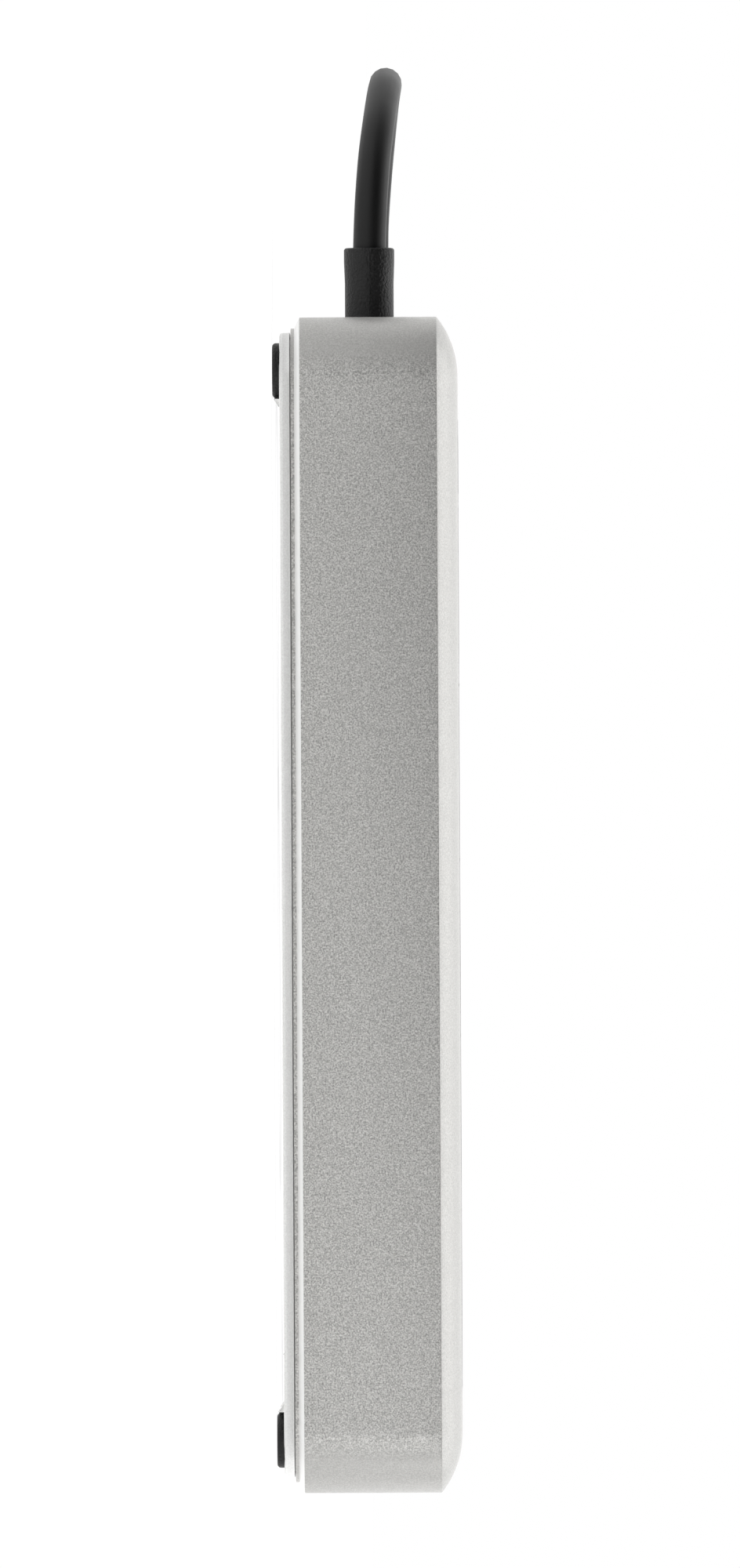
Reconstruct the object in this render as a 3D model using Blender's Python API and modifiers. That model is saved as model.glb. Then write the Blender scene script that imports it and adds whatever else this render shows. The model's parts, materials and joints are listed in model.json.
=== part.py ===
"""Desk power strip: a silver housing on a base cover, five earthed sockets and a rocker switch.

Metres, +Z up. The strip lies along X with its cord at -X, and stands on its feet at z = 0.
"""

import math

import bmesh
import bpy
import numpy as np
from mathutils import Matrix, Vector

# Clearance between pieces that touch or rest on each other
GAP = 0.0003
# How far a cutter runs past the face it opens, and how far joined shapes overlap
PAST = 0.002
JOIN = 0.0006

# Sides of round shapes
ROUND_STEPS = 28
DISC_STEPS = 24
FOOT_STEPS = 20
BOSS_STEPS = 16
PIN_STEPS = 14
HOLE_STEPS = 12
SCREW_STEPS = 10
# Least angle between faces that don't count as one flat
FLAT_ANGLE = math.radians(0.1)

# Housing outside; its length and width follow from the row of modules
END_LENGTH = 0.02625
SIDE_LAND = 0.0155
CORNER_RADIUS = 0.016
WALL = 0.0026
LIP_INSET = 0.0028
LIP_HEIGHT = 0.0009
CHAMFER_HEIGHT = 0.0013
SIDE_HEIGHT = 0.0350
CROWN_HEIGHT = 0.0053
CROWN_DEPTH = 0.0150
CORNER_STEPS = 6
CROWN_STEPS = 6

# Base cover
BASE_SIDE = 0.0029
BASE_INSET = 0.0039
BASE_EDGE = 0.0008
BASE_PLATE = 0.0026
RIM_HEIGHT = 0.0034
RIM_WALL = 0.0015
RIB_WALL = 0.0016
RIB_REACH = 0.0240
RIB_HEIGHT = 0.0080

# Feet
FOOT_HEIGHT = 0.0018
FOOT_RADIUS = 0.0070
FOOT_RECESS = 0.0008
FOOT_FROM_END = 0.0136
FOOT_FROM_SIDE = 0.0125
FOOT_FLAT = 0.0048
FOOT_ROUND = 0.0010
FOOT_ROUND_STEPS = 3
RAMP_LENGTH = 0.0022
RAMP_HEIGHT = 0.0015
RAMP_WIDTH = 0.0100

# Base screws
SCREW_FROM_END = 0.0190
SCREW_Y = 0.0090
SCREW_RADIUS = 0.0015
SCREW_LENGTH = 0.0140
SCREW_HEAD_RADIUS = 0.0028
SCREW_HEAD = 0.0014
BOSS_RADIUS = 0.0036

# Socket modules in one row, with the switch module before the first
MODULE = 0.0450
SWITCH_MODULE = 0.0225
SOCKETS = 5
FLANGE = 0.0014
LEDGE = 0.0015
WELL_RADIUS = 0.0195
WELL_DRAFT = 0.00025
WELL_DEPTH = 0.0175
WELL_WALL = 0.0012
WELL_FLOOR = 0.0025
SKIRT_DEPTH = 0.0050
SKIRT_WALL = 0.00156
TURN = math.radians(45)
PIN_PITCH = 0.0190
PIN_HOLE_RADIUS = 0.0028
GUIDE_WIDTH = 0.0046
GUIDE_DEPTH = 0.0028
GUIDE_BELOW_TOP = 0.0020
HOOK_WIDTH = 0.0080
HOOK_HEIGHT = 0.0026
HOOK_REACH = 0.0013

# Shutters under the wells
SHUTTER_EDGE = 0.0006
SHUTTER_THICK = 0.0023
SHUTTER_HOLE_RADIUS = 0.0033
SHUTTER_TURN = math.radians(40)
POST_RADIUS = 0.0022
POST_HEAD_RADIUS = 0.0040
POST_HEAD = 0.0012
SPRING_WIRE = 0.0004
SPRING_FROM = math.radians(165)
SPRING_TO = math.radians(270)

# Current bars and earth rail
SHEET = 0.0008
BAR_WIDTH = 0.0060
BAR_HEIGHT = 0.0095
BAR_INSET = 0.00125
CONTACT_SHEET = 0.0006
CONTACT_WIDTH = 0.0054
CONTACT_HEIGHT = 0.0110
CONTACT_NIP = 0.0026
CONTACT_WAIST = 0.0034
RAIL_THICK = 0.0010
RAIL_LEAD = 0.00275
RAIL_INSET = 0.00575
CLIP_WIDTH = 0.0050
CLIP_RADIUS = 0.0186
CLIP_BULGE = 0.0014
CLIP_BELOW_TOP = 0.0050
CLIP_SLOT = 0.0060
CLIP_POCKET = 0.0006

# Rocker switch
SWITCH_BODY_X = 0.0184
SWITCH_BODY_Y = 0.0414
SWITCH_WALL = 0.0014
SWITCH_DEPTH = 0.0230
ROCKER_WIDTH = 0.0144
ROCKER_HALF = 0.0142
ROCKER_END = 0.0046
ROCKER_DIP = 0.0020
DIP_STEPS = 4
ROCKER_BELOW = 0.0030
ROCKER_TILT = math.radians(9)
ROCKER_UNDER_TOP = 0.0002
TRUNNION_RADIUS = 0.0015
PLUNGER_RADIUS = 0.0014
PLUNGER_LENGTH = 0.0050
PLUNGER_SEAT = 0.0018
LEVER_LENGTH = 0.0200
LEVER_WIDTH = 0.0050
LEVER_TILT = math.radians(4)
BLADE_WIDTH = 0.0050
BLADE_BELOW = 0.0080
LAMP_RADIUS = 0.0019
LAMP_LENGTH = 0.0090
LAMP_Y = -0.0100

# Cord entry
CORD_RADIUS = 0.0042
CORD_HEIGHT = 0.0247
SLEEVE_OUT = 0.0181
SLEEVE_RADIUS = 0.00625
SLEEVE_TIP_RADIUS = 0.00645
SLEEVE_FLANGE = 0.0024
SLEEVE_FLANGE_RADIUS = 0.0085
CLAMP_LENGTH = 0.0070
CLAMP_HALF = 0.0110
CLAMP_TOP = 0.0026
CLAMP_SCREW_Y = 0.0082
CLAMP_SCREW_LENGTH = 0.0140
CORD_END_PAST_CLAMP = 0.0030
WIRE_RADIUS = 0.0013
WIRE_SPREAD = 0.0018
WIRE_STRAIGHT = 0.0030
WIRE_SHORT = 0.0020
WIRE_SAG = 0.0020
LIVE_BEND = 0.0040
NEUTRAL_BEND = 0.0060
EARTH_BEND = 0.0070

# Free lead, hank and plug
HANK_X = -0.0300
HANK_Y = 0.0823
HANK_RUN = 0.1460
HANK_INNER = 0.0254
HANK_STEP = 0.0113
HANK_DRAW = 0.0120
HANK_LOOPS = 2
HANK_REVERSE = 0.5
LOOP_POINTS = 24
LAYER_STEP = 0.0096
TIE_THICK = 0.0012
TIE_WIDTH = 0.0120
PLUG_RADIUS = 0.0185
PLUG_FACE_X = 0.1310
PLUG_Y = 0.1192
PLUG_RIM = 0.0130
PLUG_BODY = 0.0330
PLUG_NECK_RADIUS = 0.0115
PLUG_SLEEVE = 0.0280
PLUG_SLEEVE_RADIUS = 0.0068
PLUG_TIP_RADIUS = 0.0056
PLUG_RIBS = 3
PLUG_RIB_DEPTH = 0.0008
PLUG_PIN_RADIUS = 0.0024
PLUG_PIN_OUT = 0.0190
PLUG_PIN_IN = 0.0060
PLUG_EARTH_WIDTH = 0.0050
PLUG_EARTH_DEPTH = 0.0022
PLUG_NOTCH = 0.0052

# Heights and places that follow from the sizes above
Z_BASE = FOOT_HEIGHT
Z_FLOOR = Z_BASE + BASE_PLATE
Z_LIP = Z_BASE + BASE_SIDE
Z_CHAMFER = Z_LIP + LIP_HEIGHT
Z_SIDE = Z_CHAMFER + CHAMFER_HEIGHT
Z_CROWN = Z_SIDE + SIDE_HEIGHT
Z_TOP = Z_CROWN + CROWN_HEIGHT
Z_FLANGE = Z_TOP - FLANGE
Z_INSIDE = Z_TOP - WALL
Z_WELL = Z_TOP - WELL_DEPTH
Z_UNDER = Z_WELL - WELL_FLOOR
Z_SKIRT = Z_UNDER - SKIRT_DEPTH
Z_SHUTTER = Z_UNDER - GAP - SHUTTER_THICK
Z_RIM = Z_FLOOR + RIM_HEIGHT
CUP_RADIUS = WELL_RADIUS + WELL_WALL
SKIRT_RADIUS = CUP_RADIUS - SKIRT_WALL
SHUTTER_RADIUS = PIN_PITCH / 2 + SHUTTER_HOLE_RADIUS + SHUTTER_EDGE
ROW_LENGTH = SWITCH_MODULE + SOCKETS * MODULE
BODY_LENGTH = ROW_LENGTH + 2 * END_LENGTH
BODY_WIDTH = MODULE + 2 * SIDE_LAND
FOOT_X = BODY_LENGTH / 2 - FOOT_FROM_END
FOOT_Y = BODY_WIDTH / 2 - FOOT_FROM_SIDE
SCREW_X = BODY_LENGTH / 2 - SCREW_FROM_END
ROW_START = -ROW_LENGTH / 2
SWITCH_X = ROW_START + SWITCH_MODULE / 2
BAR_START = ROW_START + SWITCH_MODULE + BAR_INSET
BAR_END = ROW_LENGTH / 2 - BAR_INSET
RAIL_START = ROW_START + SWITCH_MODULE - RAIL_LEAD
RAIL_END = ROW_LENGTH / 2 - RAIL_INSET
SOCKET_X = [ROW_START + SWITCH_MODULE + MODULE * (i + 0.5) for i in range(SOCKETS)]
PIN_SIDE = PIN_PITCH / 2 * math.sin(TURN)
PIVOT_Z = (
    Z_TOP
    - ROCKER_UNDER_TOP
    - ROCKER_HALF * math.sin(ROCKER_TILT)
    - ROCKER_END * math.cos(ROCKER_TILT)
)
SWITCH_FLOOR = Z_FLANGE - SWITCH_DEPTH
LEVER_Z = PIVOT_Z - ROCKER_BELOW - PLUNGER_LENGTH - SHEET
END_X = -BODY_LENGTH / 2
SLEEVE_TIP_X = END_X - SLEEVE_OUT
SLEEVE_INNER_X = END_X + WALL + GAP + SLEEVE_FLANGE
CLAMP_X = SLEEVE_INNER_X + GAP + CLAMP_LENGTH / 2
CORD_END_X = CLAMP_X + CLAMP_LENGTH / 2 + CORD_END_PAST_CLAMP
BAR_Z = BAR_HEIGHT + SHEET / 2
RAIL_Z = Z_FLOOR + GAP + RAIL_THICK / 2
LOW_CORD_Z = CORD_RADIUS + TIE_THICK + 4 * GAP
PLUG_BACK_X = PLUG_FACE_X - PLUG_BODY - PLUG_SLEEVE
PLUG_Z = PLUG_RADIUS + GAP / 2

# Route of the free lead from the cord's mouth in the end wall, chosen by hand: out of the sleeve,
# round behind the strip and down to the hank
LEAD_ROUTE = [
    (-0.0020, 0.0000, 0.0000),
    (-0.0120, 0.0000, 0.0000),
    (-0.0215, 0.0002, 0.0002),
    (-0.0318, 0.0018, 0.0007),
    (-0.0418, 0.0070, 0.0015),
    (-0.0508, 0.0165, 0.0026),
    (-0.0581, 0.0320, 0.0036),
    (-0.0614, 0.0500, 0.0041),
    (-0.0614, 0.0680, 0.0040),
    (-0.0578, 0.0860, 0.0033),
    (-0.0498, 0.1010, 0.0023),
    (-0.0390, 0.1110, 0.0012),
    (-0.0265, 0.1152, 0.0003),
    (-0.0130, 0.1162, -0.0001),
    (-0.0010, 0.1162, -0.0024),
    (0.0090, 0.1162, -0.0076),
    (0.0185, 0.1162, -0.0142),
    (0.0280, 0.1162, -0.0179),
]

COLOURS = {
    "silver": ((0.42, 0.42, 0.41, 1.0), 0.38, 0.6),
    "base_silver": ((0.50, 0.50, 0.49, 1.0), 0.42, 0.5),
    "black_plastic": ((0.020, 0.020, 0.022, 1.0), 0.45, 0.0),
    "black_rubber": ((0.015, 0.015, 0.016, 1.0), 0.7, 0.0),
    "grey_plastic": ((0.22, 0.22, 0.23, 1.0), 0.5, 0.0),
    "red_lens": ((0.55, 0.02, 0.02, 1.0), 0.25, 0.0),
    "brass": ((0.60, 0.42, 0.16, 1.0), 0.3, 1.0),
    "steel": ((0.55, 0.56, 0.58, 1.0), 0.3, 1.0),
    "brown_wire": ((0.16, 0.06, 0.02, 1.0), 0.5, 0.0),
    "blue_wire": ((0.02, 0.08, 0.40, 1.0), 0.5, 0.0),
    "green_wire": ((0.10, 0.35, 0.04, 1.0), 0.5, 0.0),
    "clear_glass": ((0.80, 0.75, 0.65, 1.0), 0.1, 0.0),
}


def clear_scene():
    for item in list(bpy.data.objects):
        bpy.data.objects.remove(item, do_unlink=True)


def new_collection(name):
    group = bpy.data.collections.new(name)
    bpy.context.scene.collection.children.link(group)
    return group


def make_material(name):
    colour, roughness, metallic = COLOURS[name]
    made = bpy.data.materials.new(name)
    made.use_nodes = True
    shader = made.node_tree.nodes["Principled BSDF"]
    shader.inputs["Base Color"].default_value = colour
    shader.inputs["Roughness"].default_value = roughness
    shader.inputs["Metallic"].default_value = metallic
    return made


def smooth(mesh, angle=math.radians(35)):
    mesh.shade_smooth()
    mesh.set_sharp_from_angle(angle=angle)


def add_part(name, mesh, material, place=(0, 0, 0), turn=(0, 0, 0)):
    """One named piece of the object."""
    made = bpy.data.objects.new(name, mesh)
    made.location = place
    made.rotation_euler = turn
    PARTS.objects.link(made)
    if not mesh.materials:
        mesh.materials.append(MATERIALS[material])
    return made


def add_helper(name, mesh):
    """A shape that only cuts or joins another."""
    made = bpy.data.objects.new(name, mesh)
    made.hide_render = True
    made.display_type = "WIRE"
    CUTTERS.objects.link(made)
    return made


def mesh_from(name, build):
    """A mesh that build fills through bmesh."""
    shape = bmesh.new()
    build(shape)
    bmesh.ops.recalc_face_normals(shape, faces=shape.faces)
    mesh = bpy.data.meshes.new(name)
    shape.to_mesh(mesh)
    shape.free()
    return mesh


def boxes(name, spans):
    """Boxes from their (low corner, high corner) pairs, in one mesh."""

    def build(shape):
        for low, high in spans:
            low, high = Vector(low), Vector(high)
            size = Matrix.Diagonal((high - low).to_4d())
            bmesh.ops.create_cube(shape, size=1.0, matrix=Matrix.Translation((low + high) / 2) @ size)

    return mesh_from(name, build)


def cylinders(name, spans, steps=DISC_STEPS):
    """Cylinders from (start, end, radius), in one mesh."""

    def build(shape):
        for start, end, radius in spans:
            start, end = Vector(start), Vector(end)
            along = end - start
            turn = along.to_track_quat("Z", "Y").to_matrix().to_4x4()
            bmesh.ops.create_cone(
                shape,
                cap_ends=True,
                segments=steps,
                radius1=radius,
                radius2=radius,
                depth=along.length,
                matrix=Matrix.Translation((start + end) / 2) @ turn,
            )

    return mesh_from(name, build)


def applied(source):
    """The evaluated mesh of an object, which is then removed."""
    bpy.context.view_layer.update()
    graph = bpy.context.evaluated_depsgraph_get()
    mesh = bpy.data.meshes.new_from_object(source.evaluated_get(graph))
    mesh.transform(source.matrix_world)
    bpy.data.objects.remove(source, do_unlink=True)
    return mesh


def welded(mesh):
    shape = bmesh.new()
    shape.from_mesh(mesh)
    bmesh.ops.remove_doubles(shape, verts=shape.verts, dist=1e-6)
    bmesh.ops.recalc_face_normals(shape, faces=shape.faces)
    shape.to_mesh(mesh)
    shape.free()
    return mesh


def flats_merged(mesh):
    """The mesh with neighbouring faces that lie in one plane made into one."""
    shape = bmesh.new()
    shape.from_mesh(mesh)
    bmesh.ops.dissolve_limit(shape, angle_limit=FLAT_ANGLE, verts=shape.verts, edges=shape.edges)
    shape.to_mesh(mesh)
    shape.free()
    return mesh


def boolean(target, operation, mesh):
    """Joins a helper shape to the target, or cuts it out."""
    helper = add_helper(f"{target.name}_{operation.lower()}", mesh)
    step = target.modifiers.new(helper.name, "BOOLEAN")
    step.operation = operation
    step.solver = "EXACT"
    step.object = helper


def turned(name, profile, steps=ROUND_STEPS):
    """A profile of (radius, height) points, top to bottom on its outer side, turned about Z."""
    mesh = bpy.data.meshes.new(name)
    points = [(r, 0.0, z) for r, z in profile]
    mesh.from_pydata(points, [(i, i + 1) for i in range(len(points) - 1)], [])
    made = add_helper(name, mesh)
    screw = made.modifiers.new("turn", "SCREW")
    screw.steps = steps
    screw.render_steps = steps
    screw.use_merge_vertices = True
    screw.merge_threshold = 1e-6
    return welded(applied(made))


def turned_ring(name, profile, steps=ROUND_STEPS):
    """A closed profile of (radius, height) points turned about Z."""
    return turned(name, [*profile, profile[0]], steps)


def flat_solid(name, outline, thick):
    """A closed outline in X and Y, filled and given a thickness about z = 0."""
    line = bpy.data.curves.new(name, "CURVE")
    line.dimensions = "2D"
    line.fill_mode = "BOTH"
    line.extrude = thick / 2
    spline = line.splines.new("POLY")
    spline.points.add(len(outline) - 1)
    for point, (x, y) in zip(spline.points, outline):
        point.co = (x, y, 0.0, 1.0)
    spline.use_cyclic_u = True
    return welded(applied(add_helper(name, line)))


def sheet_outline(path, thick):
    """The outline of sheet metal bent along a path of (u, v) points."""
    path = [Vector(p) for p in path]
    sides = []
    for i, point in enumerate(path):
        before = (point - path[i - 1]).normalized() if i else None
        after = (path[i + 1] - point).normalized() if i + 1 < len(path) else None
        before = before or after
        after = after or before
        normal = Vector((-(before + after).y, (before + after).x)).normalized()
        reach = thick / 2 / normal.dot(Vector((-before.y, before.x)))
        sides.append((point + normal * reach, point - normal * reach))
    return [tuple(a) for a, _ in sides] + [tuple(b) for _, b in reversed(sides)]


# Turns that lay an outline drawn in X and Y into X and Z, or into Y and Z
UPRIGHT_XZ = Matrix.Rotation(math.radians(90), 4, "X")
YZ_FROM_XY = Matrix(((0, 0, 1, 0), (1, 0, 0, 0), (0, 1, 0, 0), (0, 0, 0, 1)))


def bent_sheet(name, path, thick, width, place=(0, 0, 0), turn=0.0):
    """Sheet metal bent along (x, z) points, turned about Z and moved to its place."""
    mesh = flat_solid(name, sheet_outline(path, thick), width)
    mesh.transform(Matrix.Translation(place) @ Matrix.Rotation(turn, 4, "Z") @ UPRIGHT_XZ)
    return mesh


def tube(name, points, radius, resolution):
    """A round tube along points."""
    line = bpy.data.curves.new(name, "CURVE")
    line.dimensions = "3D"
    line.bevel_depth = radius
    line.bevel_resolution = resolution
    line.use_fill_caps = True
    spline = line.splines.new("POLY")
    spline.points.add(len(points) - 1)
    for point, at in zip(spline.points, points):
        point.co = (*at, 1.0)
    return welded(applied(add_helper(name, line)))


def through(points, step):
    """Points about a step apart on a smooth curve through the route's points."""
    way = np.array(points, float)
    before = np.vstack([2 * way[0] - way[1], way[:-1]])
    after = np.vstack([way[1:], 2 * way[-1] - way[-2]])
    lean = (after - before) / 2
    made = []
    for i in range(len(way) - 1):
        count = max(1, round(float(np.linalg.norm(way[i + 1] - way[i])) / step))
        for t in np.arange(count) / count:
            made.append(
                (2 * t**3 - 3 * t**2 + 1) * way[i]
                + (t**3 - 2 * t**2 + t) * lean[i]
                + (3 * t**2 - 2 * t**3) * way[i + 1]
                + (t**3 - t**2) * lean[i + 1]
            )
    return np.array([*made, way[-1]])


def length_of(points):
    return float(np.linalg.norm(np.diff(points, axis=0), axis=1).sum())


def rounded_ring(inset):
    """The plan outline of the body, set in by inset, with the same number of points each time."""
    radius = CORNER_RADIUS - inset
    half_x = BODY_LENGTH / 2 - inset - radius
    half_y = BODY_WIDTH / 2 - inset - radius
    points = []
    for corner, (sx, sy) in enumerate([(1, 1), (-1, 1), (-1, -1), (1, -1)]):
        for k in range(CORNER_STEPS + 1):
            angle = math.radians(90) * (corner + k / CORNER_STEPS)
            points.append((sx * half_x + radius * math.cos(angle), sy * half_y + radius * math.sin(angle)))
    return points


def lofted(name, sections, closed=True):
    """A loft through (inset, height) sections of the outline, filled at its last and, if closed, first."""

    def build(shape):
        rings = []
        for inset, z in sections:
            ring = [shape.verts.new((x, y, z)) for x, y in rounded_ring(inset)]
            rings.append([shape.edges.new((a, b)) for a, b in zip(ring, ring[1:] + ring[:1])])
        for low, high in zip(rings, rings[1:]):
            bmesh.ops.bridge_loops(shape, edges=low + high)
        shape.faces.new([e.verts[0] for e in rings[-1]])
        if closed:
            shape.faces.new([e.verts[0] for e in rings[0]])

    return mesh_from(name, build)


def four_places(x, y):
    return [(sx * x, sy * y) for sx in (-1, 1) for sy in (-1, 1)]


def crown_sections():
    """The rounded crown from the crisp edge of the side wall to the flat top."""
    radius = (CROWN_DEPTH**2 + CROWN_HEIGHT**2) / (2 * CROWN_HEIGHT)
    start = math.asin(CROWN_DEPTH / radius)
    angles = [start * (1 - k / CROWN_STEPS) for k in range(CROWN_STEPS + 1)]
    return [(CROWN_DEPTH - radius * math.sin(a), Z_TOP - radius * (1 - math.cos(a))) for a in angles]


def top_housing():
    sections = [(LIP_INSET, Z_LIP), (LIP_INSET, Z_CHAMFER), (0.0, Z_SIDE), *crown_sections()]
    made = add_part("top_housing", lofted("top_housing", sections, closed=False), "silver")
    shell = made.modifiers.new("wall", "SOLIDIFY")
    shell.thickness = WALL
    shell.offset = -1.0
    shell.use_even_offset = True
    places = four_places(SCREW_X, SCREW_Y)
    bosses = [((x, y, Z_LIP + GAP), (x, y, Z_INSIDE + JOIN), BOSS_RADIUS) for x, y in places]
    boolean(made, "UNION", cylinders("bosses", bosses, BOSS_STEPS))
    pilot = SCREW_RADIUS + GAP
    holes = [((x, y, Z_LIP - PAST), (x, y, Z_BASE + SCREW_LENGTH + PAST), pilot) for x, y in places]
    seat_x, seat_y = ROW_LENGTH / 2 + GAP / 2, MODULE / 2 + GAP / 2
    slot_x, slot_y = seat_x - LEDGE, seat_y - LEDGE
    seat_z = Z_FLANGE - GAP
    slot = [((-seat_x, -seat_y, seat_z), (seat_x, seat_y, Z_TOP + PAST))]
    boolean(made, "DIFFERENCE", boxes("seat", slot))
    way = [((-slot_x, -slot_y, Z_INSIDE - PAST), (slot_x, slot_y, Z_TOP + PAST))]
    boolean(made, "DIFFERENCE", boxes("slot", way))
    boolean(made, "DIFFERENCE", cylinders("pilots", holes, HOLE_STEPS))
    mouth = [((END_X - PAST, 0, CORD_HEIGHT), (END_X + WALL + PAST, 0, CORD_HEIGHT), SLEEVE_RADIUS + GAP)]
    boolean(made, "DIFFERENCE", cylinders("mouth", mouth, ROUND_STEPS))
    smooth(made.data)


def rib_places():
    middles = [x + MODULE / 2 for x in SOCKET_X[:-1]]
    return [BAR_START + RIB_WALL, *middles, BAR_END - RIB_WALL]


def rib_boxes(near, far, top):
    """A pair of boxes at each rib place, on both sides of the earth rail."""
    spans = []
    for x in rib_places():
        low, high = x - RIB_WALL / 2, x + RIB_WALL / 2
        spans.append(((low, near, Z_FLOOR - JOIN), (high, far, top)))
        spans.append(((low, -far, Z_FLOOR - JOIN), (high, -near, top)))
    return boxes("ribs", spans)


def ramps():
    """Low ramps on the underside, beside the inner edge of each foot."""
    shapes = []
    top = Z_BASE + JOIN
    for x, y in four_places(FOOT_X, FOOT_Y):
        inward = -1 if x > 0 else 1
        foot = x + inward * (FOOT_RADIUS + GAP)
        path = [(foot, top), (foot, Z_BASE - RAMP_HEIGHT), (foot + inward * RAMP_LENGTH, Z_BASE)]
        path.append((foot + inward * RAMP_LENGTH, top))
        mesh = flat_solid("ramp", path, RAMP_WIDTH)
        mesh.transform(Matrix.Translation((0, y, 0)) @ UPRIGHT_XZ)
        shapes.append(mesh)
    return joined("ramps", shapes)


def joined(name, meshes):
    """Several meshes as one helper mesh."""

    def build(shape):
        for mesh in meshes:
            shape.from_mesh(mesh)

    return mesh_from(name, build)


def pedestal():
    low = (CLAMP_X - CLAMP_LENGTH / 2, -CLAMP_HALF, Z_FLOOR - JOIN)
    return low, (CLAMP_X + CLAMP_LENGTH / 2, CLAMP_HALF, CORD_HEIGHT - GAP / 2)


def clamp_screw_holes():
    top, low = CORD_HEIGHT + CORD_RADIUS + CLAMP_TOP, CORD_HEIGHT - CLAMP_SCREW_LENGTH - PAST
    ways = [((CLAMP_X, s * CLAMP_SCREW_Y, low), (CLAMP_X, s * CLAMP_SCREW_Y, top + PAST)) for s in (-1, 1)]
    return [(a, b, SCREW_RADIUS + GAP) for a, b in ways]


def cord_way():
    start, end = CLAMP_X - CLAMP_LENGTH, CLAMP_X + CLAMP_LENGTH
    return [((start, 0, CORD_HEIGHT), (end, 0, CORD_HEIGHT), CORD_RADIUS + GAP)]


def base_cover():
    top = Z_LIP - GAP
    edge = BASE_INSET + BASE_EDGE
    middle = BASE_EDGE * (1 - math.sqrt(0.5))
    sections = [
        (edge, Z_BASE),
        (BASE_INSET + middle, Z_BASE + middle),
        (BASE_INSET, Z_BASE + BASE_EDGE),
        (BASE_INSET, top),
    ]
    made = add_part("base_cover", lofted("base_cover", sections), "base_silver")
    rim = LIP_INSET + WALL + GAP
    boolean(made, "UNION", lofted("rim", [(rim, Z_BASE + BASE_EDGE), (rim, Z_RIM)]))
    inside = rim + RIM_WALL
    boolean(made, "DIFFERENCE", lofted("tray", [(inside, Z_FLOOR), (inside, Z_RIM + PAST)]))
    step = PIN_SIDE + BAR_WIDTH / 2 + GAP
    boolean(made, "UNION", rib_boxes(BAR_WIDTH / 2 + 2 * GAP, step + JOIN, BAR_HEIGHT - GAP))
    boolean(made, "UNION", rib_boxes(step, RIB_REACH, Z_FLOOR + RIB_HEIGHT))
    boolean(made, "UNION", boxes("pedestal", [pedestal()]))
    boolean(made, "UNION", ramps())
    recess = FOOT_RADIUS + GAP
    places = four_places(FOOT_X, FOOT_Y)
    recesses = [((x, y, Z_BASE - PAST), (x, y, Z_BASE + FOOT_RECESS), recess) for x, y in places]
    boolean(made, "DIFFERENCE", cylinders("foot_recesses", recesses, ROUND_STEPS))
    screws = four_places(SCREW_X, SCREW_Y)
    head = SCREW_HEAD_RADIUS + GAP
    heads = [((x, y, Z_BASE - PAST), (x, y, Z_BASE + SCREW_HEAD), head) for x, y in screws]
    shanks = [((x, y, Z_BASE - PAST), (x, y, Z_LIP + PAST), SCREW_RADIUS + GAP) for x, y in screws]
    boolean(made, "DIFFERENCE", cylinders("counterbores", heads, FOOT_STEPS))
    boolean(made, "DIFFERENCE", cylinders("screw_holes", shanks, HOLE_STEPS))
    boolean(made, "DIFFERENCE", cylinders("clamp_holes", clamp_screw_holes(), HOLE_STEPS))
    boolean(made, "DIFFERENCE", cylinders("cord_cradle", cord_way()))
    smooth(made.data)


def feet():
    top = Z_BASE + FOOT_RECESS - GAP
    angles = [math.radians(90) * k / FOOT_ROUND_STEPS for k in range(FOOT_ROUND_STEPS + 1)]
    wide = FOOT_RADIUS - FOOT_FLAT
    rim = [(FOOT_FLAT + wide * math.cos(a), FOOT_ROUND * (1 - math.sin(a))) for a in angles]
    profile = [(0.0, top), (FOOT_RADIUS, top), *rim, (0.0, 0.0)]
    mesh = flats_merged(turned("foot", profile, FOOT_STEPS))
    smooth(mesh)
    for i, (x, y) in enumerate(four_places(FOOT_X, FOOT_Y)):
        add_part(f"foot_{i + 1}", mesh, "black_rubber", (x, y, 0))


def screw_mesh(length):
    """A pan-head screw whose head's underside is at z = 0 and whose shank points up."""
    profile = [
        (0.0, length),
        (SCREW_RADIUS, length - SCREW_RADIUS),
        (SCREW_RADIUS, 0.0),
        (SCREW_HEAD_RADIUS, 0.0),
        (SCREW_HEAD_RADIUS, -0.5 * SCREW_HEAD),
        (0.7 * SCREW_HEAD_RADIUS, -SCREW_HEAD + GAP),
        (0.0, -SCREW_HEAD + GAP),
    ]
    mesh = turned("screw", profile, SCREW_STEPS)
    smooth(mesh)
    return mesh


def base_screws():
    mesh = screw_mesh(SCREW_LENGTH - SCREW_HEAD)
    for i, (x, y) in enumerate(four_places(SCREW_X, SCREW_Y)):
        add_part(f"base_screw_{i + 1}", mesh, "steel", (x, y, Z_BASE + SCREW_HEAD - GAP))


def well_cutter():
    low = WELL_RADIUS - WELL_DRAFT
    return turned("well", [(0, Z_TOP + PAST), (WELL_RADIUS, Z_TOP + PAST), (low, Z_WELL), (0, Z_WELL)])


def under_cutter():
    """The space under a well's floor, round the post that the shutter turns on."""
    neck = Z_SHUTTER - GAP
    foot = neck - POST_HEAD
    return turned_ring(
        "under",
        [
            (SKIRT_RADIUS, Z_UNDER),
            (SKIRT_RADIUS, Z_SKIRT - PAST),
            (GAP, Z_SKIRT - PAST),
            (GAP, foot),
            (POST_HEAD_RADIUS, foot),
            (POST_HEAD_RADIUS, neck),
            (POST_RADIUS, neck),
            (POST_RADIUS, Z_UNDER),
        ],
    )


def on_pin_line(shape):
    """Turns a shape from the X axis onto the line of the pin holes."""
    shape.transform(Matrix.Rotation(TURN, 4, "Z"))
    return shape


def on_earth_line(shape):
    shape.transform(Matrix.Rotation(TURN - math.radians(90), 4, "Z"))
    return shape


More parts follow.
